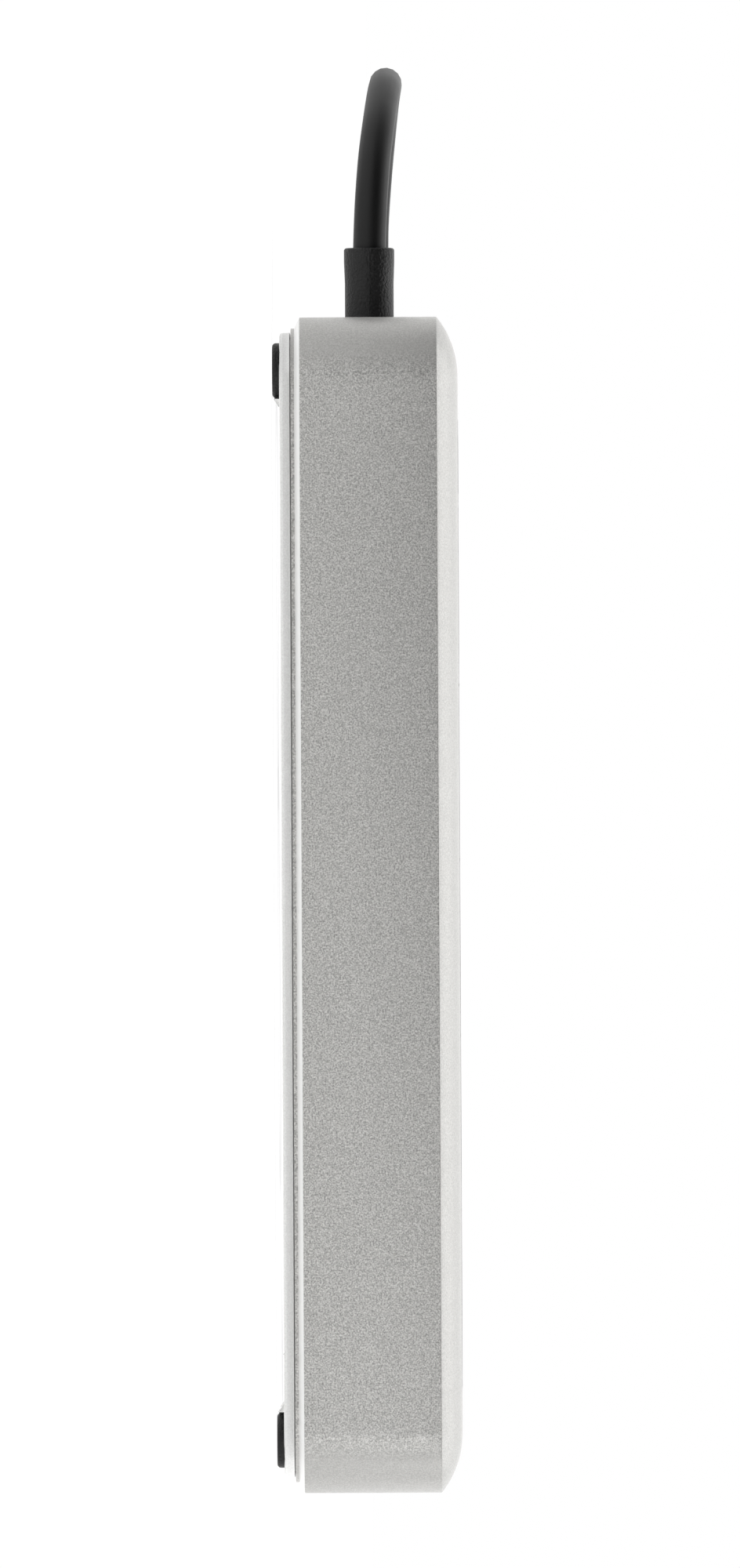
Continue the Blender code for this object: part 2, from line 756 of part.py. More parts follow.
def socket_mesh():
    """One socket module about x = 0, y = 0: square flange, round well, skirt, post, guides and hooks."""
    half = (MODULE - GAP) / 2
    made = add_helper("socket", boxes("flange", [((-half, -half, Z_FLANGE), (half, half, Z_TOP))]))
    cup = [((0, 0, Z_SKIRT), (0, 0, Z_FLANGE + JOIN), CUP_RADIUS)]
    boolean(made, "UNION", cylinders("cup", cup, ROUND_STEPS))
    hook_top = Z_TOP - WALL - 2 * GAP
    hook_far = MODULE / 2 - LEDGE + HOOK_REACH
    hooks = [
        (
            (-HOOK_WIDTH / 2, min(s * hook_far, s * (CUP_RADIUS - WELL_WALL)), hook_top - HOOK_HEIGHT),
            (HOOK_WIDTH / 2, max(s * hook_far, s * (CUP_RADIUS - WELL_WALL)), hook_top),
        )
        for s in (-1, 1)
    ]
    boolean(made, "UNION", boxes("hooks", hooks))
    boolean(made, "DIFFERENCE", well_cutter())
    boolean(made, "DIFFERENCE", under_cutter())
    inner = WELL_RADIUS - GUIDE_DEPTH
    guide_top = Z_TOP - GUIDE_BELOW_TOP
    guides = [
        (
            (min(s * inner, s * (WELL_RADIUS + JOIN)), -GUIDE_WIDTH / 2, Z_WELL - JOIN),
            (max(s * inner, s * (WELL_RADIUS + JOIN)), GUIDE_WIDTH / 2, guide_top),
        )
        for s in (-1, 1)
    ]
    boolean(made, "UNION", on_pin_line(boxes("guides", guides)))
    pins = [
        ((s * PIN_PITCH / 2, 0, Z_UNDER - PAST), (s * PIN_PITCH / 2, 0, Z_WELL + PAST), PIN_HOLE_RADIUS)
        for s in (-1, 1)
    ]
    boolean(made, "DIFFERENCE", on_pin_line(cylinders("pin_holes", pins, HOLE_STEPS)))
    near = CLIP_RADIUS - CLIP_BULGE - SHEET
    far = WELL_RADIUS + CLIP_POCKET
    clip_top = Z_TOP - CLIP_BELOW_TOP + PAST
    pockets = [
        (
            (min(s * near, s * far), -CLIP_SLOT / 2, Z_SKIRT - PAST),
            (max(s * near, s * far), CLIP_SLOT / 2, clip_top),
        )
        for s in (-1, 1)
    ]
    boolean(made, "DIFFERENCE", on_earth_line(boxes("clip_pockets", pockets)))
    mesh = applied(made)
    smooth(mesh)
    return mesh


def shutter_mesh():
    """A disc that covers both pin holes at rest and bares them when it has turned."""
    disc = [((0, 0, 0), (0, 0, SHUTTER_THICK), SHUTTER_RADIUS)]
    made = add_helper("shutter", cylinders("disc", disc))
    ways = [((0, 0, -PAST), (0, 0, SHUTTER_THICK + PAST), POST_RADIUS + GAP)]
    boolean(made, "DIFFERENCE", cylinders("shutter_bore", ways, HOLE_STEPS))
    angle = TURN + SHUTTER_TURN
    holes = []
    slopes = []
    for side in (0, math.pi):
        x, y = (PIN_PITCH / 2 * f(angle + side) for f in (math.cos, math.sin))
        holes.append(((x, y, -PAST), (x, y, SHUTTER_THICK + PAST), SHUTTER_HOLE_RADIUS))
        slopes.append(slope(TURN + side))
    boolean(made, "DIFFERENCE", cylinders("shutter_holes", holes, HOLE_STEPS))
    boolean(made, "DIFFERENCE", joined("slopes", slopes))
    mesh = applied(made)
    smooth(mesh)
    return mesh


def slope(angle):
    """A wedge cut under a pin hole, on which the pin's tip pushes the shutter round."""
    reach = PIN_HOLE_RADIUS + GAP
    deep = SHUTTER_THICK / 2
    path = [(-reach, deep + PAST), (reach, deep + PAST), (reach, -deep / 2), (-reach, deep)]
    mesh = flat_solid("slope", path, 2 * reach)
    across = Matrix.Rotation(angle + math.radians(90), 4, "Z")
    place = (PIN_PITCH / 2 * math.cos(angle), PIN_PITCH / 2 * math.sin(angle), SHUTTER_THICK / 2)
    mesh.transform(Matrix.Translation(place) @ across @ UPRIGHT_XZ)
    return mesh


def spring_mesh():
    """A wire round the shutter's rim, with one end turned out to the skirt."""
    radius = SHUTTER_RADIUS + GAP + SPRING_WIRE
    out = SKIRT_RADIUS - GAP
    angles = np.linspace(SPRING_FROM, SPRING_TO, 9)
    points = [(radius * math.cos(a), radius * math.sin(a), SHUTTER_THICK / 2) for a in angles]
    points.append((out * math.cos(SPRING_TO), out * math.sin(SPRING_TO), SHUTTER_THICK / 2))
    return tube("spring", points, SPRING_WIRE, 1)


def sockets():
    insert, shutter, spring = socket_mesh(), shutter_mesh(), spring_mesh()
    for i, x in enumerate(SOCKET_X):
        add_part(f"socket_insert_{i + 1}", insert, "black_plastic", (x, 0, 0))
        add_part(f"shutter_{i + 1}", shutter, "grey_plastic", (x, 0, Z_SHUTTER))
        add_part(f"shutter_spring_{i + 1}", spring, "steel", (x, 0, Z_SHUTTER))


def contact_path():
    """A spring contact: a trough with two sides that close in at the nip and flare at the top."""
    side = [
        (CONTACT_WAIST, CONTACT_HEIGHT),
        (CONTACT_NIP, 0.8 * CONTACT_HEIGHT),
        (CONTACT_WAIST, 0.2 * CONTACT_HEIGHT),
        (CONTACT_NIP, 0.0),
    ]
    return [(-x, z) for x, z in side] + [(x, z) for x, z in reversed(side)]


def current_bar(name, side):
    low = (BAR_START, side * PIN_SIDE - BAR_WIDTH / 2, BAR_HEIGHT)
    high = (BAR_END, side * PIN_SIDE + BAR_WIDTH / 2, BAR_HEIGHT + SHEET)
    made = add_part(name, boxes(name, [(low, high)]), "brass")
    places = [(x + side * PIN_SIDE, side * PIN_SIDE, BAR_Z) for x in SOCKET_X]
    shapes = [bent_sheet("contact", contact_path(), CONTACT_SHEET, CONTACT_WIDTH, place) for place in places]
    boolean(made, "UNION", joined("contacts", shapes))


def clip_path():
    """A cross strip under a socket with a spring clip turned up at each end."""
    top = Z_TOP - CLIP_BELOW_TOP
    half = [
        (CLIP_RADIUS + CLIP_POCKET / 2, top),
        (CLIP_RADIUS, top - 2 * CLIP_BULGE),
        (CLIP_RADIUS - CLIP_BULGE, top - 5 * CLIP_BULGE),
        (CLIP_RADIUS, top - 9 * CLIP_BULGE),
        (CLIP_RADIUS, RAIL_Z),
    ]
    return [(-x, z) for x, z in half] + [(x, z) for x, z in reversed(half)]


def earth_rail():
    low = (RAIL_START, -BAR_WIDTH / 2, RAIL_Z - RAIL_THICK / 2)
    high = (RAIL_END, BAR_WIDTH / 2, RAIL_Z + RAIL_THICK / 2)
    made = add_part("earth_rail", boxes("earth_rail", [(low, high)]), "steel")
    turn = TURN - math.radians(90)
    shapes = [bent_sheet("clips", clip_path(), SHEET, CLIP_WIDTH, (x, 0, 0), turn) for x in SOCKET_X]
    boolean(made, "UNION", joined("clips", shapes))


def switch_frame():
    """The switch module: face plate, body with the rocker's opening, bearings and blade slots."""
    half_x, half_y = (SWITCH_MODULE - GAP) / 2, (MODULE - GAP) / 2
    made = add_part(
        "switch_frame",
        boxes("plate", [((SWITCH_X - half_x, -half_y, Z_FLANGE), (SWITCH_X + half_x, half_y, Z_TOP))]),
        "black_plastic",
    )
    body_x, body_y = SWITCH_BODY_X / 2, SWITCH_BODY_Y / 2
    body = [((SWITCH_X - body_x, -body_y, SWITCH_FLOOR), (SWITCH_X + body_x, body_y, Z_FLANGE + JOIN))]
    boolean(made, "UNION", boxes("switch_body", body))
    in_x, in_y = body_x - SWITCH_WALL, body_y - SWITCH_WALL
    cavity = [
        (
            (SWITCH_X - in_x, -in_y, SWITCH_FLOOR + SWITCH_WALL),
            (SWITCH_X + in_x, in_y, Z_FLANGE - SWITCH_WALL),
        )
    ]
    boolean(made, "DIFFERENCE", boxes("switch_cavity", cavity))
    open_x = ROCKER_WIDTH / 2 + GAP
    open_y = math.hypot(ROCKER_HALF, ROCKER_END) + GAP
    mouth_low = (SWITCH_X - open_x, -open_y, Z_FLANGE - 2 * SWITCH_WALL)
    mouth = [(mouth_low, (SWITCH_X + open_x, open_y, Z_TOP + PAST))]
    boolean(made, "DIFFERENCE", boxes("rocker_mouth", mouth))
    reach = body_x + PAST
    bearing = [((SWITCH_X - reach, 0, PIVOT_Z), (SWITCH_X + reach, 0, PIVOT_Z), TRUNNION_RADIUS + GAP)]
    boolean(made, "DIFFERENCE", cylinders("bearing", bearing, BOSS_STEPS))
    slot_y = BLADE_WIDTH / 2 + GAP
    slots = [
        (
            (SWITCH_X - SHEET / 2 - GAP, y - slot_y, SWITCH_FLOOR - PAST),
            (SWITCH_X + SHEET / 2 + GAP, y + slot_y, SWITCH_FLOOR + SWITCH_WALL + PAST),
        )
        for y in (0.0, LEVER_LENGTH / 2 - BLADE_WIDTH / 2)
    ]
    boolean(made, "DIFFERENCE", boxes("blade_slots", slots))


def rocker():
    """A rocker with a dipped face and a trunnion at each side, stored in its off position."""
    shares = np.linspace(-1, 1, DIP_STEPS + 1)
    face = [(ROCKER_HALF * s, ROCKER_END - ROCKER_DIP * (1 - s**2)) for s in shares]
    outline = [
        *face,
        (ROCKER_HALF, 0.0),
        (0.6 * ROCKER_HALF, -ROCKER_BELOW),
        (-0.6 * ROCKER_HALF, -ROCKER_BELOW),
        (-ROCKER_HALF, 0.0),
    ]
    mesh = flat_solid("rocker", outline, ROCKER_WIDTH)
    mesh.transform(YZ_FROM_XY)
    made = add_part("rocker", mesh, "red_lens", (SWITCH_X, 0, PIVOT_Z), (ROCKER_TILT, 0, 0))
    reach = SWITCH_BODY_X / 2 - GAP
    axle = [((-reach, 0, 0), (reach, 0, 0), TRUNNION_RADIUS)]
    stubs = add_helper("trunnions", cylinders("trunnions", axle, BOSS_STEPS))
    seat = PLUNGER_SEAT - ROCKER_BELOW
    socket = [((0, 0, -ROCKER_BELOW - PAST), (0, 0, seat), PLUNGER_RADIUS + GAP)]
    hole = add_helper("plunger_hole", cylinders("plunger_hole", socket, HOLE_STEPS))
    for helper, operation in ((stubs, "UNION"), (hole, "DIFFERENCE")):
        helper.location = made.location
        helper.rotation_euler = made.rotation_euler
        step = made.modifiers.new(helper.name, "BOOLEAN")
        step.operation = operation
        step.object = helper
    pin = [((0, 0, seat - GAP), (0, 0, -ROCKER_BELOW - PLUNGER_LENGTH), PLUNGER_RADIUS)]
    add_part(
        "rocker_plunger",
        cylinders("rocker_plunger", pin, HOLE_STEPS),
        "steel",
        (SWITCH_X, 0, PIVOT_Z),
        (ROCKER_TILT, 0, 0),
    )


def switch_contacts():
    """The tilting contact, the blade it rocks on, the blade it closes on, and the lamp."""
    half = LEVER_LENGTH / 2
    lever = boxes(
        "contact_lever",
        [((-LEVER_WIDTH / 2, -half, -SHEET / 2), (LEVER_WIDTH / 2, half, SHEET / 2))],
    )
    add_part("contact_lever", lever, "brass", (SWITCH_X, 0, LEVER_Z), (LEVER_TILT, 0, 0))
    low = SWITCH_FLOOR - BLADE_BELOW
    rest = LEVER_Z - SHEET / 2 - GAP
    drop = half * math.sin(LEVER_TILT)
    for name, y, top, width in [
        ("switch_terminal_in", 0.0, rest - BLADE_WIDTH / 4 * math.sin(LEVER_TILT), BLADE_WIDTH / 2),
        ("switch_terminal_out", half - BLADE_WIDTH / 2, rest - drop, BLADE_WIDTH),
    ]:
        span = (
            (SWITCH_X - SHEET / 2, y - width / 2, low),
            (SWITCH_X + SHEET / 2, y + width / 2, top),
        )
        add_part(name, boxes(name, [span]), "brass")
    lamp_z = SWITCH_FLOOR + SWITCH_WALL + GAP + LAMP_RADIUS
    lamp = [
        (
            (SWITCH_X - LAMP_LENGTH / 2, LAMP_Y, lamp_z),
            (SWITCH_X + LAMP_LENGTH / 2, LAMP_Y, lamp_z),
            LAMP_RADIUS,
        )
    ]
    mesh = cylinders("indicator_lamp", lamp, PIN_STEPS)
    smooth(mesh)
    add_part("indicator_lamp", mesh, "clear_glass")


def along_x(mesh, place):
    """Lays a turned shape, whose top points to +Z, along -X from its place."""
    mesh.transform(Matrix.Translation(place) @ Matrix.Rotation(math.radians(-90), 4, "Y"))
    return mesh


def strain_relief():
    """A sleeve through the end wall, a little wider at its open tip, with a flange inside."""
    bore = CORD_RADIUS + GAP
    wall = -WALL - GAP
    inner = wall - SLEEVE_FLANGE
    profile = [
        (bore, SLEEVE_OUT),
        (SLEEVE_TIP_RADIUS, SLEEVE_OUT),
        (SLEEVE_TIP_RADIUS, 0.8 * SLEEVE_OUT),
        (SLEEVE_RADIUS, 0.5 * SLEEVE_OUT),
        (SLEEVE_RADIUS, wall),
        (SLEEVE_FLANGE_RADIUS, wall),
        (SLEEVE_FLANGE_RADIUS, inner),
        (bore, inner),
    ]
    mesh = along_x(turned_ring("strain_relief", profile, DISC_STEPS), (END_X, 0, CORD_HEIGHT))
    smooth(mesh)
    add_part("strain_relief", mesh, "black_rubber")


def cord_anchorage():
    low, high = pedestal()
    bar = (low[0], low[1], CORD_HEIGHT + GAP / 2), (high[0], high[1], CORD_HEIGHT + CORD_RADIUS + CLAMP_TOP)
    made = add_part("cord_clamp", boxes("cord_clamp", [bar]), "grey_plastic")
    boolean(made, "DIFFERENCE", cylinders("clamp_cradle", cord_way()))
    boolean(made, "DIFFERENCE", cylinders("clamp_bar_holes", clamp_screw_holes(), HOLE_STEPS))
    mesh = screw_mesh(CLAMP_SCREW_LENGTH)
    for i, side in enumerate((-1, 1)):
        place = (CLAMP_X, side * CLAMP_SCREW_Y, bar[1][2] + GAP)
        add_part(f"clamp_screw_{i + 1}", mesh, "steel", place, (math.pi, 0, 0))
    start, end = END_X + LEAD_ROUTE[0][0] + GAP, CORD_END_X
    stub = [((start, 0, CORD_HEIGHT), (end, 0, CORD_HEIGHT), CORD_RADIUS)]
    mesh = cylinders("cord_end", stub, PIN_STEPS)
    smooth(mesh)
    add_part("cord_end", mesh, "black_plastic")


def wires():
    """The three cores of the lead and the wire from the switch to the live bar."""
    start = CORD_END_X + GAP
    blade_z = SWITCH_FLOOR - BLADE_BELOW / 2
    blade = SHEET / 2 + GAP
    out_y = LEVER_LENGTH / 2 - BLADE_WIDTH / 2
    bar_x = BAR_START - GAP
    low = Z_FLOOR + GAP + WIRE_RADIUS
    routes = {
        "wire_live": (
            "brown_wire",
            [
                (start, 0.0, CORD_HEIGHT + WIRE_SPREAD),
                (start + WIRE_STRAIGHT, 0.0, CORD_HEIGHT + WIRE_SPREAD),
                (SWITCH_X - LIVE_BEND, 0.0, blade_z),
                (SWITCH_X - blade, 0.0, blade_z),
            ],
        ),
        "wire_neutral": (
            "blue_wire",
            [
                (start, -WIRE_SPREAD, CORD_HEIGHT - WIRE_SPREAD),
                (start + WIRE_STRAIGHT, -WIRE_SPREAD, CORD_HEIGHT - WIRE_SPREAD),
                (SWITCH_X - NEUTRAL_BEND, -PIN_SIDE, BAR_Z + WIRE_SAG),
                (bar_x - LIVE_BEND, -PIN_SIDE, BAR_Z),
                (bar_x, -PIN_SIDE, BAR_Z),
            ],
        ),
        "wire_earth": (
            "green_wire",
            [
                (start, WIRE_SPREAD, CORD_HEIGHT - WIRE_SPREAD),
                (start + WIRE_STRAIGHT, WIRE_SPREAD, CORD_HEIGHT - WIRE_SPREAD),
                (SWITCH_X - EARTH_BEND, WIRE_SPREAD / 2, low + WIRE_SAG),
                (RAIL_START - WIRE_STRAIGHT, 0.0, low),
                (RAIL_START - GAP, 0.0, low),
            ],
        ),
        "wire_switched": (
            "brown_wire",
            [
                (SWITCH_X + blade, out_y, blade_z),
                (SWITCH_X + blade + WIRE_SHORT, out_y, blade_z),
                (bar_x - WIRE_SHORT, PIN_SIDE, BAR_Z),
                (bar_x, PIN_SIDE, BAR_Z),
            ],
        ),
    }
    for name, (colour, route) in routes.items():
        mesh = tube(name, through(route, 2.5 * WIRE_RADIUS), WIRE_RADIUS, 1)
        smooth(mesh)
        add_part(name, mesh, colour)


def hank_point(turn):
    """The middle of the hank's tube after so many turns, about the hank's centre."""
    middle = HANK_LOOPS / 2
    off = abs(turn - middle)
    radius = HANK_INNER + HANK_STEP * max(0.0, off - HANK_REVERSE / 2)
    climb = min(1.0, max(0.0, (turn - middle + HANK_REVERSE / 2) / HANK_REVERSE))
    z = LOW_CORD_Z + LAYER_STEP * (0.5 - 0.5 * math.cos(math.pi * climb))
    half = HANK_RUN / 2
    run, fold = HANK_RUN, math.pi * HANK_INNER
    at = (turn % 1.0) * 2 * (run + fold)
    side = 1 if at < run + fold else -1
    at = at % (run + fold)
    if at < run:
        x = at - half
        y = radius - HANK_DRAW * math.cos(math.pi * x / run) ** 2
    else:
        angle = (at - run) / HANK_INNER
        x = half + radius * math.sin(angle)
        y = radius * math.cos(angle)
    return (HANK_X + side * x, HANK_Y + side * y, z)


def hank_points():
    """Loops that spiral in on the floor and out again on top, and a last run to the plug's side."""
    run_share = HANK_RUN / 2 / (HANK_RUN + math.pi * HANK_INNER)
    turns = np.linspace(0, HANK_LOOPS + run_share, round(LOOP_POINTS * (HANK_LOOPS + run_share)) + 1)
    points = [hank_point(t) for t in turns]
    first, last = points[0], points[-1]
    straight = 2 * CORD_RADIUS
    points.insert(0, (first[0] - straight, first[1], first[2]))
    points.append((last[0] + straight, last[1], last[2]))
    return np.array(points)


def least_gap(points, radius):
    """The least gap between stretches of a tube that aren't neighbours along it."""
    steps = np.linalg.norm(np.diff(points, axis=0), axis=1)
    along = np.concatenate([[0], np.cumsum(steps)])
    fine = np.linspace(0, along[-1], 1500)
    line = np.stack([np.interp(fine, along, points[:, k]) for k in range(3)], axis=1)
    apart = np.linalg.norm(line[:, None] - line[None], axis=2)
    near = np.abs(fine[:, None] - fine[None]) < 8 * radius
    return float(np.where(near, np.inf, apart).min()) - 2 * radius


def tail_points(end):
    """A gentle rise from the end of the hank to the plug's sleeve."""
    start = np.array(end) + (GAP, 0, 0)
    stop = np.array((PLUG_BACK_X - 2 * GAP, PLUG_Y, PLUG_Z))
    shares = np.linspace(0, 1, 11)
    rise = np.clip((shares - 0.1) / 0.8, 0, 1)
    ease = 3 * rise**2 - 2 * rise**3
    along = start[0] + (stop[0] - start[0]) * shares
    rest = start[1:] + (stop - start)[1:] * ease[:, None]
    return np.column_stack([along, rest])


def free_lead():
    """The lead from the sleeve to the hank, the hank itself, its tie and the way to the plug."""
    hank = hank_points()
    start, end = hank[0], hank[-1]
    route = np.array(LEAD_ROUTE) + (END_X, 0, CORD_HEIGHT)
    lead = np.array([*route, (start[0] - GAP, start[1], start[2])])
    tail = tail_points(end)
    lead_points = through(lead, 5 * CORD_RADIUS)
    for name, points, resolution in [
        ("power_cord", lead_points, 3),
        ("cord_hank", hank, 1),
        ("plug_lead", tail, 3),
    ]:
        mesh = tube(name, points, CORD_RADIUS, resolution)
        smooth(mesh, math.radians(65))
        add_part(name, mesh, "black_plastic")
    print("least gap of the hank to itself:", round(1000 * least_gap(hank, CORD_RADIUS), 2), "mm")
    print("length of the lead:", round(sum(map(length_of, (lead_points, hank, tail))), 3), "m")


def cord_tie():
    """A flat strap round the drawn-in waist of the hank."""
    hank = hank_points()
    waist = hank[abs(hank[:, 0] - HANK_X) < TIE_WIDTH]
    middle = (waist.min(axis=0) + waist.max(axis=0)) / 2
    half = (waist.max(axis=0) - waist.min(axis=0)) / 2
    place = Matrix.Translation((HANK_X, middle[1], middle[2]))
    inner = CORD_RADIUS + 3 * GAP
    mesh = rounded_bar("cord_tie", half, inner + TIE_THICK, TIE_WIDTH)
    mesh.transform(place)
    made = add_part("cord_tie", mesh, "black_rubber")
    way = rounded_bar("tie_way", half, inner, TIE_WIDTH + 2 * PAST)
    way.transform(place)
    boolean(made, "DIFFERENCE", way)


def rounded_bar(name, half, radius, width):
    """A bar along X whose section is a rectangle with half sizes in Y and Z, grown by a radius."""
    outline = []
    for corner, (sy, sz) in enumerate([(1, 1), (-1, 1), (-1, -1), (1, -1)]):
        for k in range(CORNER_STEPS):
            angle = math.radians(90) * (corner + k / (CORNER_STEPS - 1))
            y = sy * half[1] + radius * math.cos(angle)
            z = sz * half[2] + radius * math.sin(angle)
            outline.append((y, z))
    mesh = flat_solid(name, outline, width)
    mesh.transform(YZ_FROM_XY)
    return mesh


def plug_profile():
    """The plug from its face, at z = 0, back to the end of its ribbed sleeve."""
    bore = CORD_RADIUS + GAP
    points = [
        (0.0, 0.0),
        (PLUG_RADIUS - GAP, 0.0),
        (PLUG_RADIUS, -2 * GAP),
        (PLUG_RADIUS, -PLUG_RIM),
        (0.85 * PLUG_RADIUS, -PLUG_RIM - 0.2 * PLUG_BODY),
        (PLUG_NECK_RADIUS, -0.85 * PLUG_BODY),
        (PLUG_SLEEVE_RADIUS, -PLUG_BODY),
    ]
    step = PLUG_SLEEVE / (2 * PLUG_RIBS)
    for k in range(2 * PLUG_RIBS):
        share = k / (2 * PLUG_RIBS)
        radius = PLUG_SLEEVE_RADIUS + share * (PLUG_TIP_RADIUS - PLUG_SLEEVE_RADIUS)
        groove = PLUG_RIB_DEPTH if k % 2 else 0.0
        points.append((radius - groove, -PLUG_BODY - k * step - (0.3 * step if k else 0.1 * step)))
        points.append((radius - groove, -PLUG_BODY - (k + 1) * step))
    end = -PLUG_BODY - PLUG_SLEEVE
    return [*points, (PLUG_TIP_RADIUS - PLUG_RIB_DEPTH, end - GAP / 2), (0.0, end - GAP / 2)]


def plug():
    """A round earthed plug lying on its rim, pins towards +X."""
    place = Matrix.Translation((PLUG_FACE_X, PLUG_Y, PLUG_Z))
    lay = place @ Matrix.Rotation(math.radians(90), 4, "Y")
    mesh = turned("plug_body", plug_profile(), FOOT_STEPS)
    made = add_part("plug_body", mesh, "black_plastic")
    pins = [((0, s * PIN_PITCH / 2, -PLUG_PIN_IN), (0, s * PIN_PITCH / 2, PAST)) for s in (-1, 1)]
    holes = [(a, b, PLUG_PIN_RADIUS + GAP) for a, b in pins]
    far = PLUG_RADIUS + PAST
    near = PLUG_RADIUS - PLUG_EARTH_DEPTH
    wide = PLUG_EARTH_WIDTH / 2 + GAP
    strips = [
        ((min(s * near, s * far), -wide, -PLUG_RIM), (max(s * near, s * far), wide, PAST)) for s in (-1, 1)
    ]
    notches = [
        (
            (-PLUG_NOTCH / 2, min(s * (PLUG_RADIUS - 0.6 * PLUG_NOTCH), s * far), -PLUG_RIM - PAST),
            (PLUG_NOTCH / 2, max(s * (PLUG_RADIUS - 0.6 * PLUG_NOTCH), s * far), PAST),
        )
        for s in (-1, 1)
    ]
    cutters = [
        cylinders("plug_pin_holes", holes, PIN_STEPS),
        boxes("plug_earth_ways", strips),
        boxes("plug_notches", notches),
    ]
    for cutter in cutters:
        cutter.transform(lay)
        boolean(made, "DIFFERENCE", cutter)
    mesh.transform(lay)
    smooth(mesh)
    for i, (start, _) in enumerate(pins):
        tip = (0, start[1], PLUG_PIN_OUT)
        root = (0, start[1], start[2] + GAP)
        pin = cylinders("plug_pin", [(root, tip, PLUG_PIN_RADIUS)], PIN_STEPS)
        pin.transform(lay)
        smooth(pin)
        add_part(f"plug_pin_{i + 1}", pin, "steel")
    thick = PLUG_EARTH_DEPTH - 2 * GAP
    for i, s in enumerate((-1, 1)):
        low, high = sorted((s * (near + GAP), s * (near + GAP + thick / 2)))
        strip = boxes(
            "plug_earth",
            [((low, -PLUG_EARTH_WIDTH / 2, -PLUG_RIM + GAP), (high, PLUG_EARTH_WIDTH / 2, -GAP))],
        )
        strip.transform(lay)
        add_part(f"plug_earth_{i + 1}", strip, "steel")


def build_strip():
    top_housing()
    base_cover()
    feet()
    base_screws()
    sockets()
    current_bar("live_bar", 1)
    current_bar("neutral_bar", -1)
    earth_rail()
    switch_frame()
    rocker()
    switch_contacts()
    strain_relief()
    cord_anchorage()
    wires()
    free_lead()
    cord_tie()
    plug()


clear_scene()
PARTS = new_collection("desk_power_strip")
CUTTERS = new_collection("cutters")
MATERIALS = {name: make_material(name) for name in COLOURS}
build_strip()
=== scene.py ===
"""Look of the desk power strip. Metres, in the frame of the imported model: X along the strip, Z up."""

import json
import math

import bmesh
import bpy
import numpy as np
from mathutils import Matrix, Vector

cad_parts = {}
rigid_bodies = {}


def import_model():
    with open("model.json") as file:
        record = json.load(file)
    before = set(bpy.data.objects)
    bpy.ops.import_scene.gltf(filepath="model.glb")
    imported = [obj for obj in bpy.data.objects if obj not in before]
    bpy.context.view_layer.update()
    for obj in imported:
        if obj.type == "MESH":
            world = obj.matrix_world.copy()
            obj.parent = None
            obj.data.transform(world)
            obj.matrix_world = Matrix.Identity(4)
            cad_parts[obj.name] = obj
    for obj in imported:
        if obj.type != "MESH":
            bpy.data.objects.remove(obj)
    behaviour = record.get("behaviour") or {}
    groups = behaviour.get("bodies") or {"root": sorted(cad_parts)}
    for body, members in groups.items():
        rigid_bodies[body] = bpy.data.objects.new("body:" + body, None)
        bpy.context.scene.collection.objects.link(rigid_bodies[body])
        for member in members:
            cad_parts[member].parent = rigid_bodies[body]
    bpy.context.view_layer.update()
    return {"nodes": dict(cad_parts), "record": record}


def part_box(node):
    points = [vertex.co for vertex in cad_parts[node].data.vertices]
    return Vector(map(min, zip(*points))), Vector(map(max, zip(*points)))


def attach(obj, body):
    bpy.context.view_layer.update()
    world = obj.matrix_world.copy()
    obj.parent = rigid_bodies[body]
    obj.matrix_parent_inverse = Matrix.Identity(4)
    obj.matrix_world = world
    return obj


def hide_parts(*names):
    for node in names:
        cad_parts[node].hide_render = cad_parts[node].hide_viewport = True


for item in list(bpy.data.objects):
    bpy.data.objects.remove(item, do_unlink=True)

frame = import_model()
NODES = frame["nodes"]
SLOTS = {part["node"]: part["material_slot"] for part in frame["record"]["subparts"]}

# Clearance between pieces, run of a cutter past the face it opens, overlap of joined shapes
GAP = 0.0003
PAST = 0.002
JOIN = 0.0006

# Fineness of rounds
FINE_STEPS = 72
MOUTH_STEPS = 48
FOOT_STEPS = 48
PIN_STEPS = 32
HOLE_STEPS = 24
SEAM_STEPS = 12
CORNER_STEPS = 20
CROWN_STEPS = 20
FILLET_STEPS = 4
BEVEL_STEPS = 3
COPY_BEVEL_STEPS = 2
CORD_RESOLUTION = 6
SMOOTH_ANGLE = math.radians(32)
SHELL_ANGLE = math.radians(28)
BEVEL_ANGLE = math.radians(40)
FLAT_ANGLE = math.radians(1)
WELD = 1e-6
TURNED_WELD = 1e-7
QUARTER = math.radians(90)

# Housing, as in the solids
BODY_LENGTH = 0.300
BODY_WIDTH = 0.076
CORNER_RADIUS = 0.016
WALL = 0.0026
LIP_INSET = 0.0028
Z_LIP = 0.0047
Z_CHAMFER = 0.0056
Z_SIDE = 0.0069
Z_CROWN = 0.0419
Z_TOP = 0.0472
CROWN_DEPTH = 0.0150
CROWN_HEIGHT = Z_TOP - Z_CROWN
EDGE_ROUND = 0.0004
CRISP_ROUND = 0.00025
SCREW_X = 0.1310
SCREW_Y = 0.0090
BOSS_RADIUS = 0.0036
PILOT_RADIUS = 0.0018
PILOT_TOP = 0.0178

# Screws and feet at the corners: cross recess of a screw, rounding of a foot
CORNERS = 4
CROSS_HALF = 0.0015
CROSS_SLIT = 0.0003
CROSS_DEPTH = 0.0007
FOOT_ROUND = 0.0009

